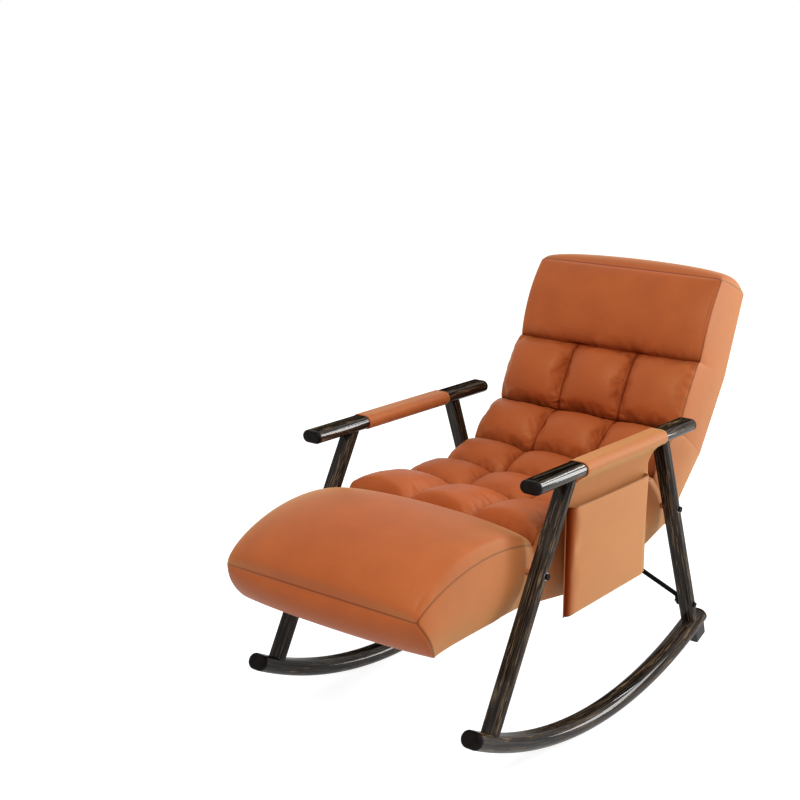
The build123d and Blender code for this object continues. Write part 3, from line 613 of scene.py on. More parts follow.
# Dark wood-grain print: brown black with tan streaks along the tube, darker and glossier on the armrests
ARM_PRINT = WoodPrint("wood_print_arm", Grain.ARM, 0.55, "201813")
FRONT_LEG_PRINT = WoodPrint("wood_print_front_leg", Grain.FRONT_LEG, 0.28)
REAR_LEG_PRINT = WoodPrint("wood_print_rear_leg", Grain.REAR_LEG, 0.28)
ROCKER_PRINT = WoodPrint("wood_print_rocker", Grain.ROCKER, 0.45)


class FrameFinish:
    """Finishes for the CAD nodes that stay in view."""

    def __init__(self) -> None:
        """Build the finishes that the CAD nodes share."""
        prints = {
            "armrest": ARM_PRINT,
            "front_leg": FRONT_LEG_PRINT,
            "rear_leg": REAR_LEG_PRINT,
            "rocker": ROCKER_PRINT,
        }
        self.named = {"hinge_spacers": NYLON.build()}
        for stem, wood in prints.items():
            self.named |= dict.fromkeys((f"{stem}_left", f"{stem}_right"), wood.build())
        self.slots = {coat.name: coat.build() for coat in (PLUG, RUBBER, BLACK_STEEL, ZINC, WEBBING)}

    def apply(self) -> None:
        """Give each CAD node its finish, by its name or its slot in the record."""
        slots = {row["node"]: row["material_slot"] for row in frame["record"]["subparts"]}
        for name, node in frame["nodes"].items():
            finish = self.named.get(name, self.slots.get(slots[name]))
            if finish is not None:
                node.data.materials.clear()
                node.data.materials.append(finish)


# Cushion


@dataclass(frozen=True)
class Row:
    """One row of the cushion between two stations.

    Args:
        rings: Steps along the row.
        columns: Tufts across the row.
        rise: How far the side seam arches over its chord, in mm.
        crown: How far the filling stands over its seams, in mm.
        along: Power of the hump along the row; lower is fuller.
        across: Power of the hump across a tuft; lower is fuller.
        sag: How far the underside hangs down, in mm.
        skew: Below one moves the hump towards the front.
        flare: How much wider each side is at the underside, in mm.
        lift: How far the underside's edge arches up, in mm.
    """

    rings: int
    columns: int
    rise: float
    crown: float
    along: float
    across: float
    sag: float = 0.0
    skew: float = 1.0
    flare: float = 0.0
    lift: float = 0.0


class Motion(Enum):
    """How a cushion piece moves."""

    RIDE = "ride"
    BLEND = "blend"


@dataclass(frozen=True)
class CushionPiece:
    """One piece of the cushion: its rows, the CAD nodes that it stands for and how it moves."""

    name: str
    first: int
    last: int
    nodes: tuple[str, ...]
    motion: Motion
    bodies: tuple[str, ...]
    # Where a bend between two bodies starts and ends, as y and z in mm
    start: Pair = (0.0, 0.0)
    end: Pair = (0.0, 0.0)


# Ends of the rows from foot to head, as y and z in mm: on the side seams, then on the underside's edges
SEAMS: tuple[Pair, ...] = (
    (-601.5, 397.0),
    (-232.0, 445.0),
    (-37.0, 447.0),
    (116.0, 442.0),
    (234.0, 475.0),
    (343.0, 558.0),
    (424.0, 704.0),
    (509.0, 883.0),
)
UNDERS: tuple[Pair, ...] = (
    (-552.0, 312.0),
    (-264.0, 326.0),
    (-40.0, 294.0),
    (131.0, 303.0),
    (298.0, 352.0),
    (432.0, 484.0),
    (535.0, 647.0),
    (610.5, 836.0),
)
ROWS: tuple[Row, ...] = (
    Row(60, 1, 34.0, 57.0, 0.37, 0.26, 18.0, lift=6.0),
    Row(32, 3, 26.0, 28.0, 0.38, 0.5, skew=0.30),
    Row(26, 3, 11.0, 21.0, 0.5, 0.5),
    Row(22, 3, 11.0, 24.0, 0.5, 0.5),
    Row(24, 3, 15.0, 28.0, 0.5, 0.5, flare=5.0),
    Row(28, 3, 13.0, 28.0, 0.5, 0.5, flare=6.0),
    Row(34, 1, 12.0, 22.0, 0.45, 0.35, flare=6.0),
)
HEAD = len(ROWS) - 1
# First row whose rear side is covered with leatherette, not with dust cloth
BACK_ROW = 4
LEGREST_NODES = ("legrest_pad", "legrest_bottom_cover")
SEAT_NODES = ("seat_pad", "seat_bottom_cover")
BACK_NODES = ("back_pad", "headrest_pad", "back_cover")
FRONT_MOVE = (Motion.BLEND, ("legrest", "frame"), (-232.0, 400.0), (-40.0, 400.0))
LUMBAR_MOVE = (Motion.BLEND, ("frame", "backrest"), (234.0, 475.0), (341.4, 556.5))
PIECES: tuple[CushionPiece, ...] = (
    CushionPiece("cushion_legrest", 0, 0, LEGREST_NODES, Motion.RIDE, ("legrest",)),
    CushionPiece("cushion_front_seat", 1, 1, ("front_seat_pad",), *FRONT_MOVE),
    CushionPiece("cushion_seat", 2, 3, SEAT_NODES, Motion.RIDE, ("frame",)),
    CushionPiece("cushion_lumbar", 4, 4, ("lumbar_pad",), *LUMBAR_MOVE),
    CushionPiece("cushion_back", 5, 6, BACK_NODES, Motion.RIDE, ("backrest",)),
)
# How the cover behaves while it is filled
CLOTH = {
    "quality": 6,
    "mass": 0.25,
    "use_pressure": True,
    "tension_stiffness": 12.0,
    "compression_stiffness": 8.0,
    "shear_stiffness": 5.0,
    "bending_stiffness": 0.15,
    "vertex_group_shrink": "firm",
    "vertex_group_mass": "held",
}


@dataclass
class Cushion:
    """The tufted cushion: a closed sheet that is filled and cut into pieces, with sizes in mm."""

    # Steps across the top and up a side
    across: int = 84
    up: int = 18
    # Half the top's width where rows meet, and half the width elsewhere
    narrow: float = 246.0
    wide: float = 249.0
    # How far a side stands out, and how many times a row's flare comes off that
    side_bulge: float = 10.0
    flare_pull: float = 1.2
    # How far the panels at foot and head stand out
    front_bulge: float = 26.0
    top_bulge: float = 38.0
    # How far creases sink below the side seams
    dip: float = 12.0
    # Hollow under the pillow for the seat's front tube: its depth, then where along the pillow it starts
    # and ends, each with the share of the pillow over which it does so
    hollow: float = 58.0
    hollow_from: Pair = (0.66, 0.16)
    hollow_to: Pair = (0.93, 0.07)
    # Filling: farthest move, steps and pressure
    most_move: float = 24.0
    frames: int = 20
    pressure: float = 3.0
    # Share by which cloth is cut smaller, or larger if below zero, and how firmly plain cloth is held
    tuft_slack: float = -0.03
    plain_slack: float = 0.0
    plain_hold: float = 0.5
    # Haze at a top's side seams, the distance over which it fades, and the least haze
    pillow_haze: Triple = (0.85, 100.0, 0.05)
    tuft_haze: Triple = (0.3, 60.0, 0.0)
    # Haze of the sides and of the back's sides, and of the panel at a piece's rear
    side_haze: Pair = (1.0, 0.7)
    rear_haze: float = 0.4
    row_start: list[int] = field(default_factory=list)

    def __post_init__(self) -> None:
        """Lay out the rings and the end panels before filling."""
        self.top_from = self.across + self.up
        self.top_to = self.top_from + self.across
        self.loop = self.top_to + self.up
        self.inside = (self.up - 1) * (self.across - 1)
        self.rings = np.array([self.ring(*spot) for spot in self.spots()])
        self.front = self.panel(self.rings[0], self.front_bulge, -1.0)
        self.top = self.panel(self.rings[-1], self.top_bulge, 1.0, 0.25)

    def spots(self) -> list[tuple[int, float]]:
        """Place the rings, a little closer at a row's ends, and note where rows start.

        Returns:
            Each ring's row and its place along that row.
        """
        places: list[tuple[int, float]] = []
        for number, row in enumerate(ROWS):
            self.row_start.append(len(places))
            for share in np.arange(row.rings) / row.rings:
                places.append((number, share - 0.35 * math.sin(2 * math.pi * share) / (2 * math.pi)))
        self.row_start.append(len(places))
        places.append((HEAD, 1.0))
        return places

    def hollowed(self, share: float) -> float:
        """Return how deep the pillow's underside is hollowed at a place along it."""
        start, end = (smooth_step((share - at) / reach) for at, reach in (self.hollow_from, self.hollow_to))
        return self.hollow * start * (1 - end)

    def ring(self, number: int, share: float) -> np.ndarray:
        """Lay out one ring of points round the cushion.

        Args:
            number: The row.
            share: The place along the row.

        Returns:
            Points along the underside, up the left side, over the top and down the right side.
        """
        row = ROWS[number]
        seam = mix(SEAMS[number], SEAMS[number + 1], share)
        under = mix(UNDERS[number], UNDERS[number + 1], share)
        span = np.linalg.norm(seam - under)
        upright = (seam - under) / span
        hump = bump_curve(share**row.skew, row.along)
        arch = row.rise * (bump_curve(share, 1.0) if row.columns == 1 else hump)
        dip = self.dip * (share if number == 0 else 1.0) * (1 - share if number == HEAD else 1.0)
        hollow = self.hollowed(share) if number == 0 else 0.0
        half = self.narrow + (self.wide - self.narrow) * hump
        low = self.wide + row.flare
        run = np.arange(self.across) / self.across
        base = hollow * bump_curve(run, 0.25) - row.sag * hump * bump_curve(run, 0.5)
        full = hump * bump_curve((run * row.columns) % 1.0, row.across)
        crown = span + arch + row.crown * full - dip * (1 - full) * bump_curve(run, 0.5)
        climb = np.arange(self.up + 1) / self.up
        side = low + (self.wide - low) * climb**2 + (half - self.wide) * climb**6
        side = side + (self.side_bulge - self.flare_pull * row.flare) * np.sin(np.pi * climb)
        level = span * climb + arch * climb**4
        x = np.concatenate([2 * low * run - low, side[:-1], half - 2 * half * run, -side[:0:-1]])
        height = np.concatenate([base, level[:-1], crown, level[:0:-1]])
        under = under + upright * row.lift * bump_curve(share**0.5, 1.0)
        return np.column_stack([x, under + height[:, None] * upright])

    def panel(self, ring: np.ndarray, bulge: float, way: float, across_power: float = 0.4) -> np.ndarray:
        """Lay out a grid of points that closes one end of the cushion.

        Args:
            ring: The end ring.
            bulge: How far the panel's middle stands out.
            way: Minus one for the front end and one for the rear end.
            across_power: Power of the bulge across the panel; lower is fuller.

        Returns:
            Points by place up the panel and across it.
        """
        low = ring[: self.across + 1]
        right = ring[self.across : self.top_from + 1]
        high = ring[self.top_from : self.top_to + 1][::-1]
        left = np.vstack([ring[self.top_to :], ring[:1]])[::-1]
        up = np.linspace(0, 1, self.up + 1)[:, None, None]
        across = np.linspace(0, 1, self.across + 1)[None, :, None]
        sheet = (1 - up) * low[None] + up * high[None]
        sheet = sheet + (1 - across) * left[:, None] + across * right[:, None]
        corners = (1 - up) * ((1 - across) * low[0] + across * low[-1])
        corners = corners + up * ((1 - across) * high[0] + across * high[-1])
        rise = high[0] - low[0]
        out = np.array([0.0, -rise[2], rise[1]]) / np.linalg.norm(rise)
        out = out * (way if out[1] > 0 else -way)
        return sheet - corners + out * bulge * bump_curve(up, 0.6) * bump_curve(across, across_power)

    def panel_faces(self, base: int, extra: int) -> Faces:
        """Close a ring with an end panel.

        Args:
            base: The number of the end ring's first vertex.
            extra: The number of the first vertex inside the panel.

        Returns:
            The panel's faces.
        """
        numbers = np.empty((self.up + 1, self.across + 1), int)
        numbers[0] = base + np.arange(self.across + 1)
        numbers[-1] = base + self.top_to - np.arange(self.across + 1)
        numbers[1:-1, 0] = base + self.loop - np.arange(1, self.up)
        numbers[1:-1, -1] = base + self.across + np.arange(1, self.up)
        numbers[1:-1, 1:-1] = extra + np.arange(self.inside).reshape(self.up - 1, -1)
        return quads(numbers)

    def closed(self, first: int, last: int, front: np.ndarray, rear: np.ndarray) -> tuple[np.ndarray, Faces]:
        """Close the sheet between two rings with a panel at each end.

        Args:
            first: The first ring.
            last: The last ring.
            front: The front panel's points.
            rear: The rear panel's points.

        Returns:
            The points, and the faces with those between rings first.
        """
        rings = self.rings[first : last + 1].reshape(-1, 3)
        faces = tube(last + 1 - first, self.loop)
        faces += self.panel_faces(0, len(rings))
        faces += self.panel_faces(len(rings) - self.loop, len(rings) + self.inside)
        inner = (panel[1:-1, 1:-1].reshape(-1, 3) for panel in (front, rear))
        return np.vstack([rings, *inner]), faces

    def sewn(self) -> np.ndarray:
        """Find the points that seams, tufts or the base hold.

        Returns:
            True where a point is held, by ring and by place on the ring.
        """
        held = np.zeros((len(self.rings), self.loop), bool)
        held[:, : self.across + 1] = True
        held[:, [self.top_from, self.top_to]] = True
        for number, row in enumerate(ROWS):
            start, stop = self.row_start[number : number + 2]
            held[start, self.top_from : self.top_to + 1] = True
            for column in range(1, row.columns):
                held[start : stop + 1, self.top_from + column * self.across // row.columns] = True
        held[-1, self.top_from : self.top_to + 1] = True
        return held

    def fill(self) -> None:
        """Fill the sheet: a cloth simulation under pressure, with its seams and tufts held."""
        points, faces = self.closed(0, len(self.rings) - 1, self.front, self.top)
        count = len(points) - 2 * self.inside
        cloth = mesh_object("filling", points, faces)
        held = self.sewn()
        tufted = np.zeros(held.shape, bool)
        tufted[self.row_start[1] : self.row_start[-2] + 1, self.top_from + 1 : self.top_to] = True
        group = cloth.vertex_groups.new(name="held")
        group.add(np.flatnonzero(held).tolist(), 1.0, "REPLACE")
        group.add(np.flatnonzero(~tufted & ~held).tolist(), self.plain_hold, "REPLACE")
        firm = np.concatenate([np.flatnonzero(~tufted), np.arange(count, len(points))])
        cloth.vertex_groups.new(name="firm").add(firm.tolist(), 1.0, "REPLACE")
        modifier = cloth.modifiers.new("fill", "CLOTH")
        for name, value in CLOTH.items():
            setattr(modifier.settings, name, value)
        modifier.settings.uniform_pressure_force = self.pressure
        # Blender keeps the greatest shrink above the least, so the firm group marks what has no slack
        modifier.settings.shrink_min = self.tuft_slack
        modifier.settings.shrink_max = self.plain_slack
        modifier.settings.effector_weights.gravity = 0.0
        modifier.collision_settings.use_collision = False
        modifier.collision_settings.use_self_collision = False
        for number in range(1, self.frames + 1):
            bpy.context.scene.frame_set(number)
        solved = cloth.evaluated_get(bpy.context.evaluated_depsgraph_get()).to_mesh()
        moved = np.empty(points.size)
        solved.vertices.foreach_get("co", moved)
        bpy.data.objects.remove(cloth)
        bpy.context.scene.frame_set(1)
        step = moved.reshape(-1, 3) / MM - points
        length = np.linalg.norm(step, axis=1, keepdims=True)
        LOG.info("filling moved %.1f mm at most, %.1f mm on average", length.max(), length.mean())
        points = points + step * np.minimum(1.0, self.most_move / np.maximum(length, 1e-9))
        self.rings = points[:count].reshape(self.rings.shape)
        self.front[1:-1, 1:-1] = points[count : count + self.inside].reshape(self.up - 1, -1, 3)
        self.top[1:-1, 1:-1] = points[count + self.inside :].reshape(self.up - 1, -1, 3)

    def lines(self) -> dict[str, np.ndarray]:
        """Measure each ring point's distance to the nearest seam, tufting creases and side seam.

        Returns:
            Distances in mm, by attribute name.
        """
        along, around = np.zeros((2, *self.rings.shape[:2]))
        along[1:] = np.cumsum(np.linalg.norm(np.diff(self.rings, axis=0), axis=2), axis=0)
        around[:, 1:] = np.cumsum(np.linalg.norm(np.diff(self.rings, axis=1), axis=2), axis=1)
        edge = np.min([np.abs(around - around[:, [place]]) for place in (self.top_from, self.top_to)], axis=0)
        seam = np.minimum(np.minimum(along, along[-1] - along), edge)
        rows, columns = np.full((2, *seam.shape), FAR_MM)
        top = slice(self.top_from, self.top_to + 1)
        for start in self.row_start[1:-1]:
            rows[:, top] = np.minimum(rows[:, top], np.abs(along - along[start])[:, top])
        for number, row in enumerate(ROWS):
            tufts = slice(self.row_start[number], self.row_start[number + 1] + 1)
            for column in range(1, row.columns):
                place = self.top_from + column * self.across // row.columns
                gap = np.abs(around - around[:, [place]])[tufts, top]
                columns[tufts, top] = np.minimum(columns[tufts, top], gap)
        return {"seam_mm": seam, "row_mm": rows, "column_mm": columns, "edge_mm": edge}

    @staticmethod
    def border(panel: np.ndarray) -> np.ndarray:
        """Measure the distance of an end panel's inner points to its border.

        Args:
            panel: The panel's points.

        Returns:
            One distance per inner point, in mm.
        """
        edges = (panel[:1], panel[-1:], panel[:, :1], panel[:, -1:])
        gaps = [np.linalg.norm(panel - edge, axis=2) for edge in edges]
        return np.min(gaps, axis=0)[1:-1, 1:-1].reshape(-1)

    def hazed(self, spec: CushionPiece, edge: np.ndarray) -> np.ndarray:
        """Work out how hazy the finish is over a piece.

        Args:
            spec: The piece.
            edge: Each ring point's distance to the nearest side seam, by ring and place.

        Returns:
            The share of the finish's haze at each point of the piece.
        """
        most, reach, least = self.pillow_haze if spec.first == 0 else self.tuft_haze
        haze = most * np.exp(-edge / reach) + least
        plain, back = self.side_haze
        for side in (slice(self.across, self.top_from + 1), slice(self.top_to, None)):
            haze[:, side] = back if spec.last == HEAD else plain
        ends = np.repeat([0.0, self.rear_haze], self.inside)
        return np.concatenate([haze.reshape(-1), ends])

    def piece(
        self, spec: CushionPiece, leather: bpy.types.Material, dust: bpy.types.Material
    ) -> bpy.types.Object:
        """Cut one piece out of the filled sheet and finish it.

        Args:
            spec: The piece's rows and motion.
            leather: The cover's material.
            dust: The underside cloth's material.

        Returns:
            The piece's object.
        """
        first, last = self.row_start[spec.first], self.row_start[spec.last + 1]
        front = self.front if spec.first == 0 else self.panel(self.rings[first], 0.0, -1.0)
        rear = self.top if spec.last == HEAD else self.panel(self.rings[last], 0.0, 1.0)
        points, faces = self.closed(first, last, front, rear)
        count = len(points) - 2 * self.inside
        item = mesh_object(spec.name, points, faces)
        lines = {name: gaps[first : last + 1] for name, gaps in self.lines().items()}
        point_values(item, boxing=self.hazed(spec, lines.pop("edge_mm")))
        borders = np.concatenate([self.border(front), self.border(rear)])
        for name, gaps in lines.items():
            ends = borders if name == "seam_mm" else np.full(2 * self.inside, FAR_MM)
            point_values(item, **{name: np.concatenate([gaps.reshape(-1), ends])})
        item.data.materials.append(leather)
        item.data.materials.append(dust)
        under = np.zeros(len(faces), np.int32)
        if spec.last < BACK_ROW:
            walls = under[: (last - first) * self.loop].reshape(-1, self.loop)
            walls[:, : self.across] = 1
        item.data.polygons.foreach_set("material_index", under)
        ends = ((0, spec.first > 0), (count - self.loop, spec.last < HEAD))
        self.keep_cuts(item, [base for base, cut in ends if cut])
        finer = item.modifiers.new("finer", "SUBSURF")
        finer.levels = 1
        finer.render_levels = 1
        self.move(item, spec)
        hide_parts(*spec.nodes)
        return item

    def keep_cuts(self, item: bpy.types.Object, bases: Sequence[int]) -> None:
        """Keep the rings at which pieces meet crisp, so that the pieces run on from each other.

        Args:
            item: The piece's object.
            bases: The number of the first vertex of each such ring.
        """
        ends = np.empty(len(item.data.edges) * 2, np.int64)
        item.data.edges.foreach_get("vertices", ends)
        ends = ends.reshape(-1, 2)
        crisp = np.zeros(len(ends), bool)
        for base in bases:
            crisp |= ((ends >= base) & (ends < base + self.loop)).all(axis=1)
        item.data.attributes.new("sharp_edge", "BOOLEAN", "EDGE").data.foreach_set("value", crisp)
        folds = crisp.astype(np.float32)
        item.data.attributes.new("crease_edge", "FLOAT", "EDGE").data.foreach_set("value", folds)

    @staticmethod
    def move(item: bpy.types.Object, spec: CushionPiece) -> None:
        """Tie a piece to its body, or else bake its place into its mesh.

        Args:
            item: The piece's object.
            spec: The piece.
        """
        if spec.motion is Motion.RIDE:
            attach(item, spec.bodies[0])
            return
        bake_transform(item)

    def build(self) -> list[bpy.types.Object]:
        """Fill the cushion and make its pieces.

        Returns:
            The pieces' objects.
        """
        self.fill()
        leather = LEATHER.build()
        dust = DUST_CLOTH.build()
        return [self.piece(spec, leather, dust) for spec in PIECES]


# Armrest sleeves and pocket


def sheet_lines(item: bpy.types.Object, seam: np.ndarray, fold: np.ndarray, haze: np.ndarray) -> None:
    """Store what a cloth sheet's finish needs to know, in mm."""
    point_values(item, seam_mm=seam, row_mm=fold, column_mm=np.full(len(seam), FAR_MM), boxing=haze)


def dress(item: bpy.types.Object, leather: bpy.types.Material, wall_mm: float, *nodes: str) -> None:
    """Give a cloth sheet its material and thickness, and tie it to the frame.

    Args:
        item: The sheet's object.
        leather: The material.
        wall_mm: The sheet's thickness, in mm.
        nodes: The CAD nodes that it stands for.
    """
    item.data.materials.append(leather)
    wall = item.modifiers.new("wall", "SOLIDIFY")
    wall.thickness = wall_mm * MM
    wall.offset = -1.0
    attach(item, "frame")
    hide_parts(*nodes)


@dataclass(frozen=True)
class Sleeve:
    """Leatherette wrapped round one armrest, with sizes in mm."""

    side: str
    x: float
    front: float
    rear: float
    width: float
    height: float
    centre_z: float
    wall: float = 1.4
    # Stitched line: its depth, distance from the end and width
    stitch: Triple = (0.8, 9.0, 1.6)
    # Rolled end: its depth and length
    hem: Pair = (0.9, 1.5)
    # Pull folds: their height, the distance over which they fade, and their turn per mm
    pull: Triple = (0.22, 60.0, 0.21)
    steps: int = 72
    runs: int = 90

    @classmethod
    def on(cls, side: str) -> "Sleeve":
        """Measure the sleeve of one side on its CAD node.

        Args:
            side: The armrest's side.

        Returns:
            The sleeve.
        """
        low, high = node_box(f"sleeve_{side}")
        centre, size = (low + high) / 2, high - low
        return cls(side, centre[0], low[1], high[1], size[0], size[2], centre[2])

    def outline(self, shrink: float) -> np.ndarray:
        """Lay out points round the flat oval.

        Args:
            shrink: How far they lie inside it.

        Returns:
            Rows of x and z from the oval's centre.
        """
        radius = self.height / 2 - shrink
        angle = 2 * np.pi * np.arange(self.steps) / self.steps
        shift = (self.width - self.height) / 2 * np.where(np.cos(angle) >= 0, 1, -1)
        return np.column_stack([shift + radius * np.cos(angle), radius * np.sin(angle)])

    def build(self, leather: bpy.types.Material) -> bpy.types.Object:
        """Make the sleeve with rolled hems and soft pull folds.

        Args:
            leather: The material.

        Returns:
            The sleeve's object.
        """
        depth, inset, width = self.stitch
        height, fade, often = self.pull
        rings = []
        for y in self.front + (self.rear - self.front) * np.arange(self.runs + 1) / self.runs:
            end = min(y - self.front, self.rear - y)
            tuck = depth * math.exp(-(((end - inset) / width) ** 2))
            tuck += self.hem[0] * math.exp(-((end / self.hem[1]) ** 2))
            # The folds wander a little, and are flatter across the armrest than up
            wave = height * math.sin(y * often + 0.8 * math.sin(y * 0.05)) * math.exp(-end / fade)
            x, z = self.outline(tuck).T
            swell = wave * np.sin(3 * np.arctan2(z, x))
            across, up = self.x + x * (1 + swell / 40), self.centre_z + z * (1 + swell / 22)
            rings.append(np.column_stack([across, np.full(self.steps, y), up]))
        points = np.vstack(rings)
        item = mesh_object(f"sleeve_wrap_{self.side}", points, tube(self.runs + 1, self.steps))
        far = np.full(len(points), FAR_MM)
        sheet_lines(item, far, far, np.full(len(points), 0.3))
        dress(item, leather, self.wall, f"sleeve_{self.side}")
        return item


@dataclass(frozen=True)
class Pocket:
    """The flap under the left sleeve and the open pouch sewn on it, with sizes in mm."""

    flap_x: float
    front: float
    rear: float
    bottom: float
    pouch_front: float
    pouch_rear: float
    pouch_bottom: float
    pouch_top: float
    flap_wall: float = 2.2
    # Height below which the flap hangs straight
    shoulder: float = 538.0
    corner: float = 14.0
    depth_top: float = 16.0
    depth_bottom: float = 8.0
    # How much lower the front lower corner hangs
    droop: float = 9.0
    # How far the flap bows in and the pouch puffs out
    bow: float = 1.0
    puff: float = 1.5
    # Gap between flap and pouch, and depth of the pouch's rim hem, under which the painted shadow of its
    # opening starts
    gap: float = 0.3
    rim_hem: float = 1.0
    wall: float = 1.4
    runs: int = 80
    gusset: int = 8
    across: int = 70
    up: int = 50

    @classmethod
    def hung(cls) -> "Pocket":
        """Measure the pocket on its CAD nodes.

        Returns:
            The pocket.
        """
        low, high = node_box("pocket_flap")
        under, over = node_box("pocket_pouch")
        middle = (low[0] + high[0]) / 2
        return cls(middle, low[1], high[1], low[2], under[1], over[1], under[2], over[2])

    def profile(self, sleeve: Sleeve) -> np.ndarray:
        """Lay out the drape's section: under and over the armrest, then down to the flap's lower edge.

        Args:
            sleeve: The sleeve whose sizes the upper part takes.

        Returns:
            Rows of x, z, front y and rear y.
        """
        radius = sleeve.height / 2
        reach = (sleeve.width - sleeve.height) / 2
        tuck, over, fall = np.arange(24), np.arange(1, 12) / 12, np.arange(1, 49) / 48
        bends = ((-1, np.linspace(-90, -270, 33)), (1, np.linspace(90, -60, 29)))
        inner, outer = (
            np.array([sleeve.x + side * reach, sleeve.centre_z])
            + radius * np.column_stack([np.cos(np.radians(turn)), np.sin(np.radians(turn))])
            for side, turn in bends
        )
        start, end = outer[-1], np.array([self.flap_x + self.flap_wall / 2, self.shoulder])
        after, before = start + (-15.6, -9.0), end + (0.0, 18.0)
        t = (np.arange(1, 21) / 20)[:, None]
        ease = (1 - t) ** 3 * start + 3 * t * (1 - t) ** 2 * after + 3 * t * t * (1 - t) * before + t**3 * end
        section = np.vstack(
            [
                np.column_stack([sleeve.x + 6.0 - 0.5 * tuck, np.full(24, sleeve.centre_z - radius)]),
                inner,
                np.column_stack([sleeve.x - reach + 2 * reach * over, np.full(11, sleeve.centre_z + radius)]),
                outer,
                ease,
                np.column_stack([np.full(48, end[0]), self.shoulder + (self.bottom - self.shoulder) * fall]),
            ]
        )
        down = np.clip((start[1] - section[:, 1]) / (start[1] - self.shoulder), 0.0, 1.0)
        down[: -len(ease) - len(fall)] = 0.0
        fronts = sleeve.front + (self.front - sleeve.front) * down**0.8
        rears = sleeve.rear + (self.rear - sleeve.rear) * down**0.6
        return np.column_stack([section, fronts, rears])

    def drape(self, sleeve: Sleeve, leather: bpy.types.Material) -> bpy.types.Object:
        """Make the sheet that wraps the left armrest and hangs down as the flap.

        Args:
            sleeve: The sleeve whose sizes the upper part takes.
            leather: The material.

        Returns:
            The sheet's object.
        """
        section = self.profile(sleeve)
        x, z, front, rear = section.T[:, :, None]
        share = np.arange(self.runs + 1) / self.runs
        hang = np.clip((self.shoulder - z) / (self.shoulder - self.bottom), 0.0, 1.0)
        bow = self.bow * np.sin(np.pi * share) * np.sin(np.pi * hang) ** 0.8
        points = np.dstack([x - bow, front + (rear - front) * share, z - self.droop * (1 - share) * hang])
        points = points.reshape(-1, 3)
        numbers = np.arange(len(points)).reshape(len(section), -1)
        faces = [face[::-1] for face in quads(numbers)]
        item = mesh_object("sleeve_drape_left", points, faces, turn=False)
        far = np.full(len(points), FAR_MM)
        fall = np.clip((sleeve.centre_z - section[:, 1]) / (sleeve.centre_z - self.shoulder), 0.0, 1.0)
        sheet_lines(item, far, far, np.repeat(0.6 + 0.4 * fall, self.runs + 1))
        dress(item, leather, self.wall, "sleeve_left", "pocket_flap")
        return item

    def pouch(self, leather: bpy.types.Material) -> bpy.types.Object:
        """Make the pouch: one sheet over the front gusset, the panel, the rear gusset and the bottom.

        Args:
            leather: The material.

        Returns:
            The pouch's object.
        """
        back = self.flap_x + self.flap_wall / 2 + self.gap
        tall, long = self.pouch_top - self.pouch_bottom, self.pouch_rear - self.pouch_front
        climb = (np.arange(self.up + 1) / self.up)[:, None]
        share = np.arange(self.across + 1) / self.across
        turn = np.pi / 2 * np.arange(self.gusset) / self.gusset
        out = np.concatenate([np.sin(turn), np.ones(self.across + 1), np.sin(turn)[::-1]])
        inset = self.corner * (1 - np.cos(turn))
        panel = self.pouch_front + self.corner + (long - 2 * self.corner) * share
        y = np.concatenate([self.pouch_front + inset, panel, self.pouch_rear - inset[::-1]])
        swell = self.puff * np.pad(bump_curve(share, 1.0), self.gusset)
        depth = self.depth_bottom + (self.depth_top - self.depth_bottom) * climb
        x = back + depth * out + swell * np.sin(np.pi * np.minimum(climb * 1.05, 1.0)) ** 0.7
        z = self.pouch_bottom + tall * climb - swell * climb**3
        below = np.clip(1 - (z - self.pouch_bottom) / tall, 0.0, 1.0)
        z = z - self.droop * below * (self.pouch_rear - y) / long
        bottom = np.column_stack([np.full(len(y), back), y, z[0]])
        points = np.vstack([np.dstack([x, np.broadcast_to(y, x.shape), z]).reshape(-1, 3), bottom])
        numbers = np.arange(len(points)).reshape(-1, len(y))
        faces = quads(numbers[:-1]) + quads(numbers[[0, -1]])
        item = mesh_object("pocket_pouch_cloth", points, faces)
        # A painted shadow line runs along the pouch's opening, just under its top edge
        opening_shadow_gap = np.maximum(0.0, self.pouch_top - points[:, 2] - self.rim_hem)
        fold = np.maximum(0.0, points[:, 1] - self.pouch_front)
        # The front gusset gets painted shade in the crease colour, and the haze grows over its first 26 mm
        sheet_lines(item, opening_shadow_gap, fold * 1.2, np.clip(fold / 30.0, 0.0, 0.87))
        dress(item, leather, self.wall, "pocket_pouch")
        return item


# Studio


@dataclass(frozen=True)
class Lamp:
    """One soft area light, in metres."""

    name: str
    place: Triple
    target: Triple
    size: Pair
    watts: float

    def build(self) -> None:
        """Add the light to the scene."""
        data = bpy.data.lights.new(self.name, "AREA")
        data.shape = "RECTANGLE"
        data.size, data.size_y = self.size
        data.energy = self.watts
        aimed(self.name, data, self.place, Vector(self.target) - Vector(self.place))


LAMPS = (
    Lamp("strip", (1.9, 2.3, 1.4), (0.1, 0.0, 0.5), (0.5, 2.2), 60.0),
    Lamp("hair", (0.8, 2.4, 2.4), (0.1, 0.0, 0.5), (1.0, 0.2), 12.5),
    Lamp("key", (1.0, -1.8, 2.9), (0.0, 0.0, 0.45), (1.5, 1.5), 56.0),
)


def seen_rays(tree: Tree) -> Socket:
    """Mark the rays that show a surface: camera, glossy and transmission rays.

    Args:
        tree: The node tree.

    Returns:
        The socket of a factor that is one for such rays.
    """
    rays = tree.add("ShaderNodeLightPath", {}).node.outputs
    factor = rays["Is Camera Ray"]
    for name in ("Is Glossy Ray", "Is Transmission Ray"):
        factor = tree.add("ShaderNodeMath", {0: factor, 1: rays[name]}, operation="MAXIMUM")
    return factor


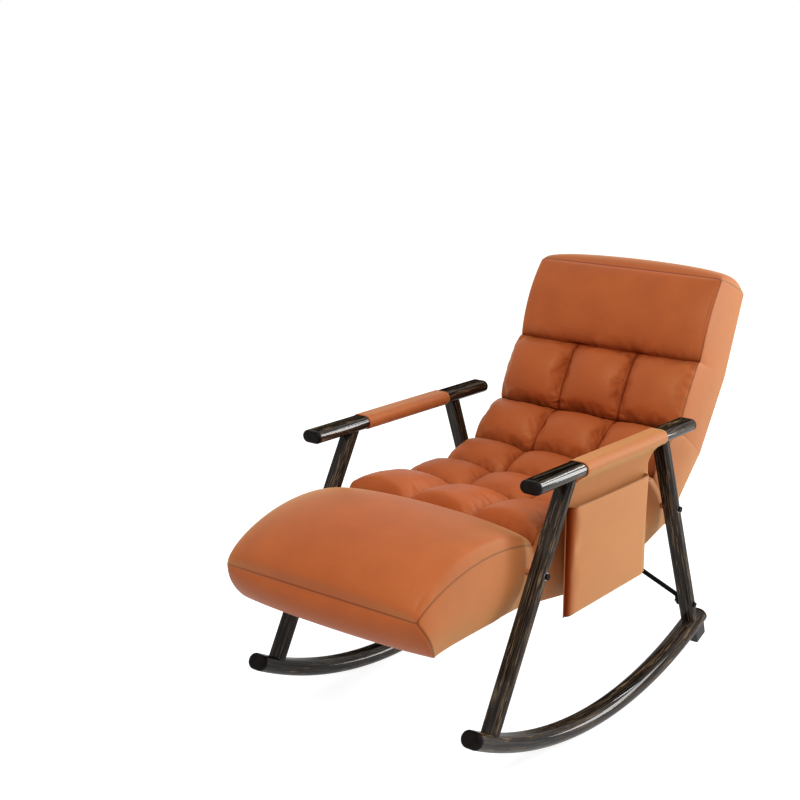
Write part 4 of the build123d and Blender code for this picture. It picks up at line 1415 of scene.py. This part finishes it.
@dataclass(frozen=True)
class Studio:
    """Floor, world, lights and camera, in metres and degrees, with the camera's own sizes in mm."""

    camera_at: Triple = (1.8666, -2.6255, 1.4791)
    azimuth: float = 39.36
    elevation: float = 14.31
    lens: float = 68.7
    sensor: float = 36.0
    floor_size: float = 9.0
    floor_cloud_mm: float = 500.0
    # Light from the floor where it is seen, and from the world
    floor_glow: float = 0.84
    world_light: float = 0.43

    def floor(self) -> None:
        """Add a plain pale floor."""
        data = bpy.data.meshes.new("floor")
        work = bmesh.new()
        bmesh.ops.create_grid(work, x_segments=1, y_segments=1, size=self.floor_size)
        work.to_mesh(data)
        work.free()
        item = linked("floor", data)
        # White paper sheet: almost even, with no mirror
        tree = Tree(bpy.data.materials.new("floor"))
        place = tree.add("ShaderNodeTexCoord", {}, "Object")
        cloud = tree.add("ShaderNodeTexNoise", {"Vector": place, "Scale": per_mm(self.floor_cloud_mm)})
        glow = tree.add("ShaderNodeMath", {0: seen_rays(tree), 1: self.floor_glow}, operation="MULTIPLY")
        paper = tree.finish(
            Base_Color=tree.between(cloud, 0.3, 0.7, "cfcfcf", "d2d2d2"),
            Roughness=0.9,
            Specular_IOR_Level=0.1,
            Emission_Color=linear("ffffff"),
            Emission_Strength=glow,
        )
        item.data.materials.append(paper)

    def world(self) -> None:
        """Set a white backdrop for the camera and an even pale light for the rest."""
        tree = Tree(bpy.data.worlds.new("studio"))
        bpy.context.scene.world = tree.owner
        back = tree.nodes["Background"]
        tree.put(back, {"Color": linear("ffffff"), "Strength": self.world_light})
        seen = tree.add("ShaderNodeBackground", {"Color": linear("ffffff"), "Strength": 1.0})
        blend = tree.add("ShaderNodeMixShader", {0: seen_rays(tree), 1: back.outputs[0], 2: seen})
        tree.put(tree.nodes["World Output"], {"Surface": blend})

    def camera(self) -> None:
        """Place the camera at the photograph's viewing angle."""
        data = bpy.data.cameras.new("camera")
        data.sensor_width = self.sensor
        data.lens = self.lens
        data.dof.use_dof = False
        turn, tilt = math.radians(self.azimuth), math.radians(self.elevation)
        way = (-math.sin(turn) * math.cos(tilt), math.cos(turn) * math.cos(tilt), -math.sin(tilt))
        bpy.context.scene.camera = aimed("camera", data, self.camera_at, Vector(way))

    def build(self) -> None:
        """Build the studio."""
        self.floor()
        self.world()
        self.camera()
        for lamp in LAMPS:
            lamp.build()
        bpy.context.scene.view_settings.view_transform = "Standard"


def main() -> None:
    """Dress the chair, report each piece and set up the studio."""
    logging.basicConfig(level=logging.INFO)
    FrameFinish().apply()
    pieces = Cushion().build()
    leather = PALER_POCKET_LEATHER.build()
    pocket = Pocket.hung()
    pieces.append(Sleeve.on("right").build(leather))
    pieces.append(pocket.drape(Sleeve.on("left"), leather))
    pieces.append(pocket.pouch(leather))
    for piece in pieces:
        LOG.info("made %s with %d faces", piece.name, len(piece.data.polygons))
    Studio().build()


if __name__ == "__main__":
    main()
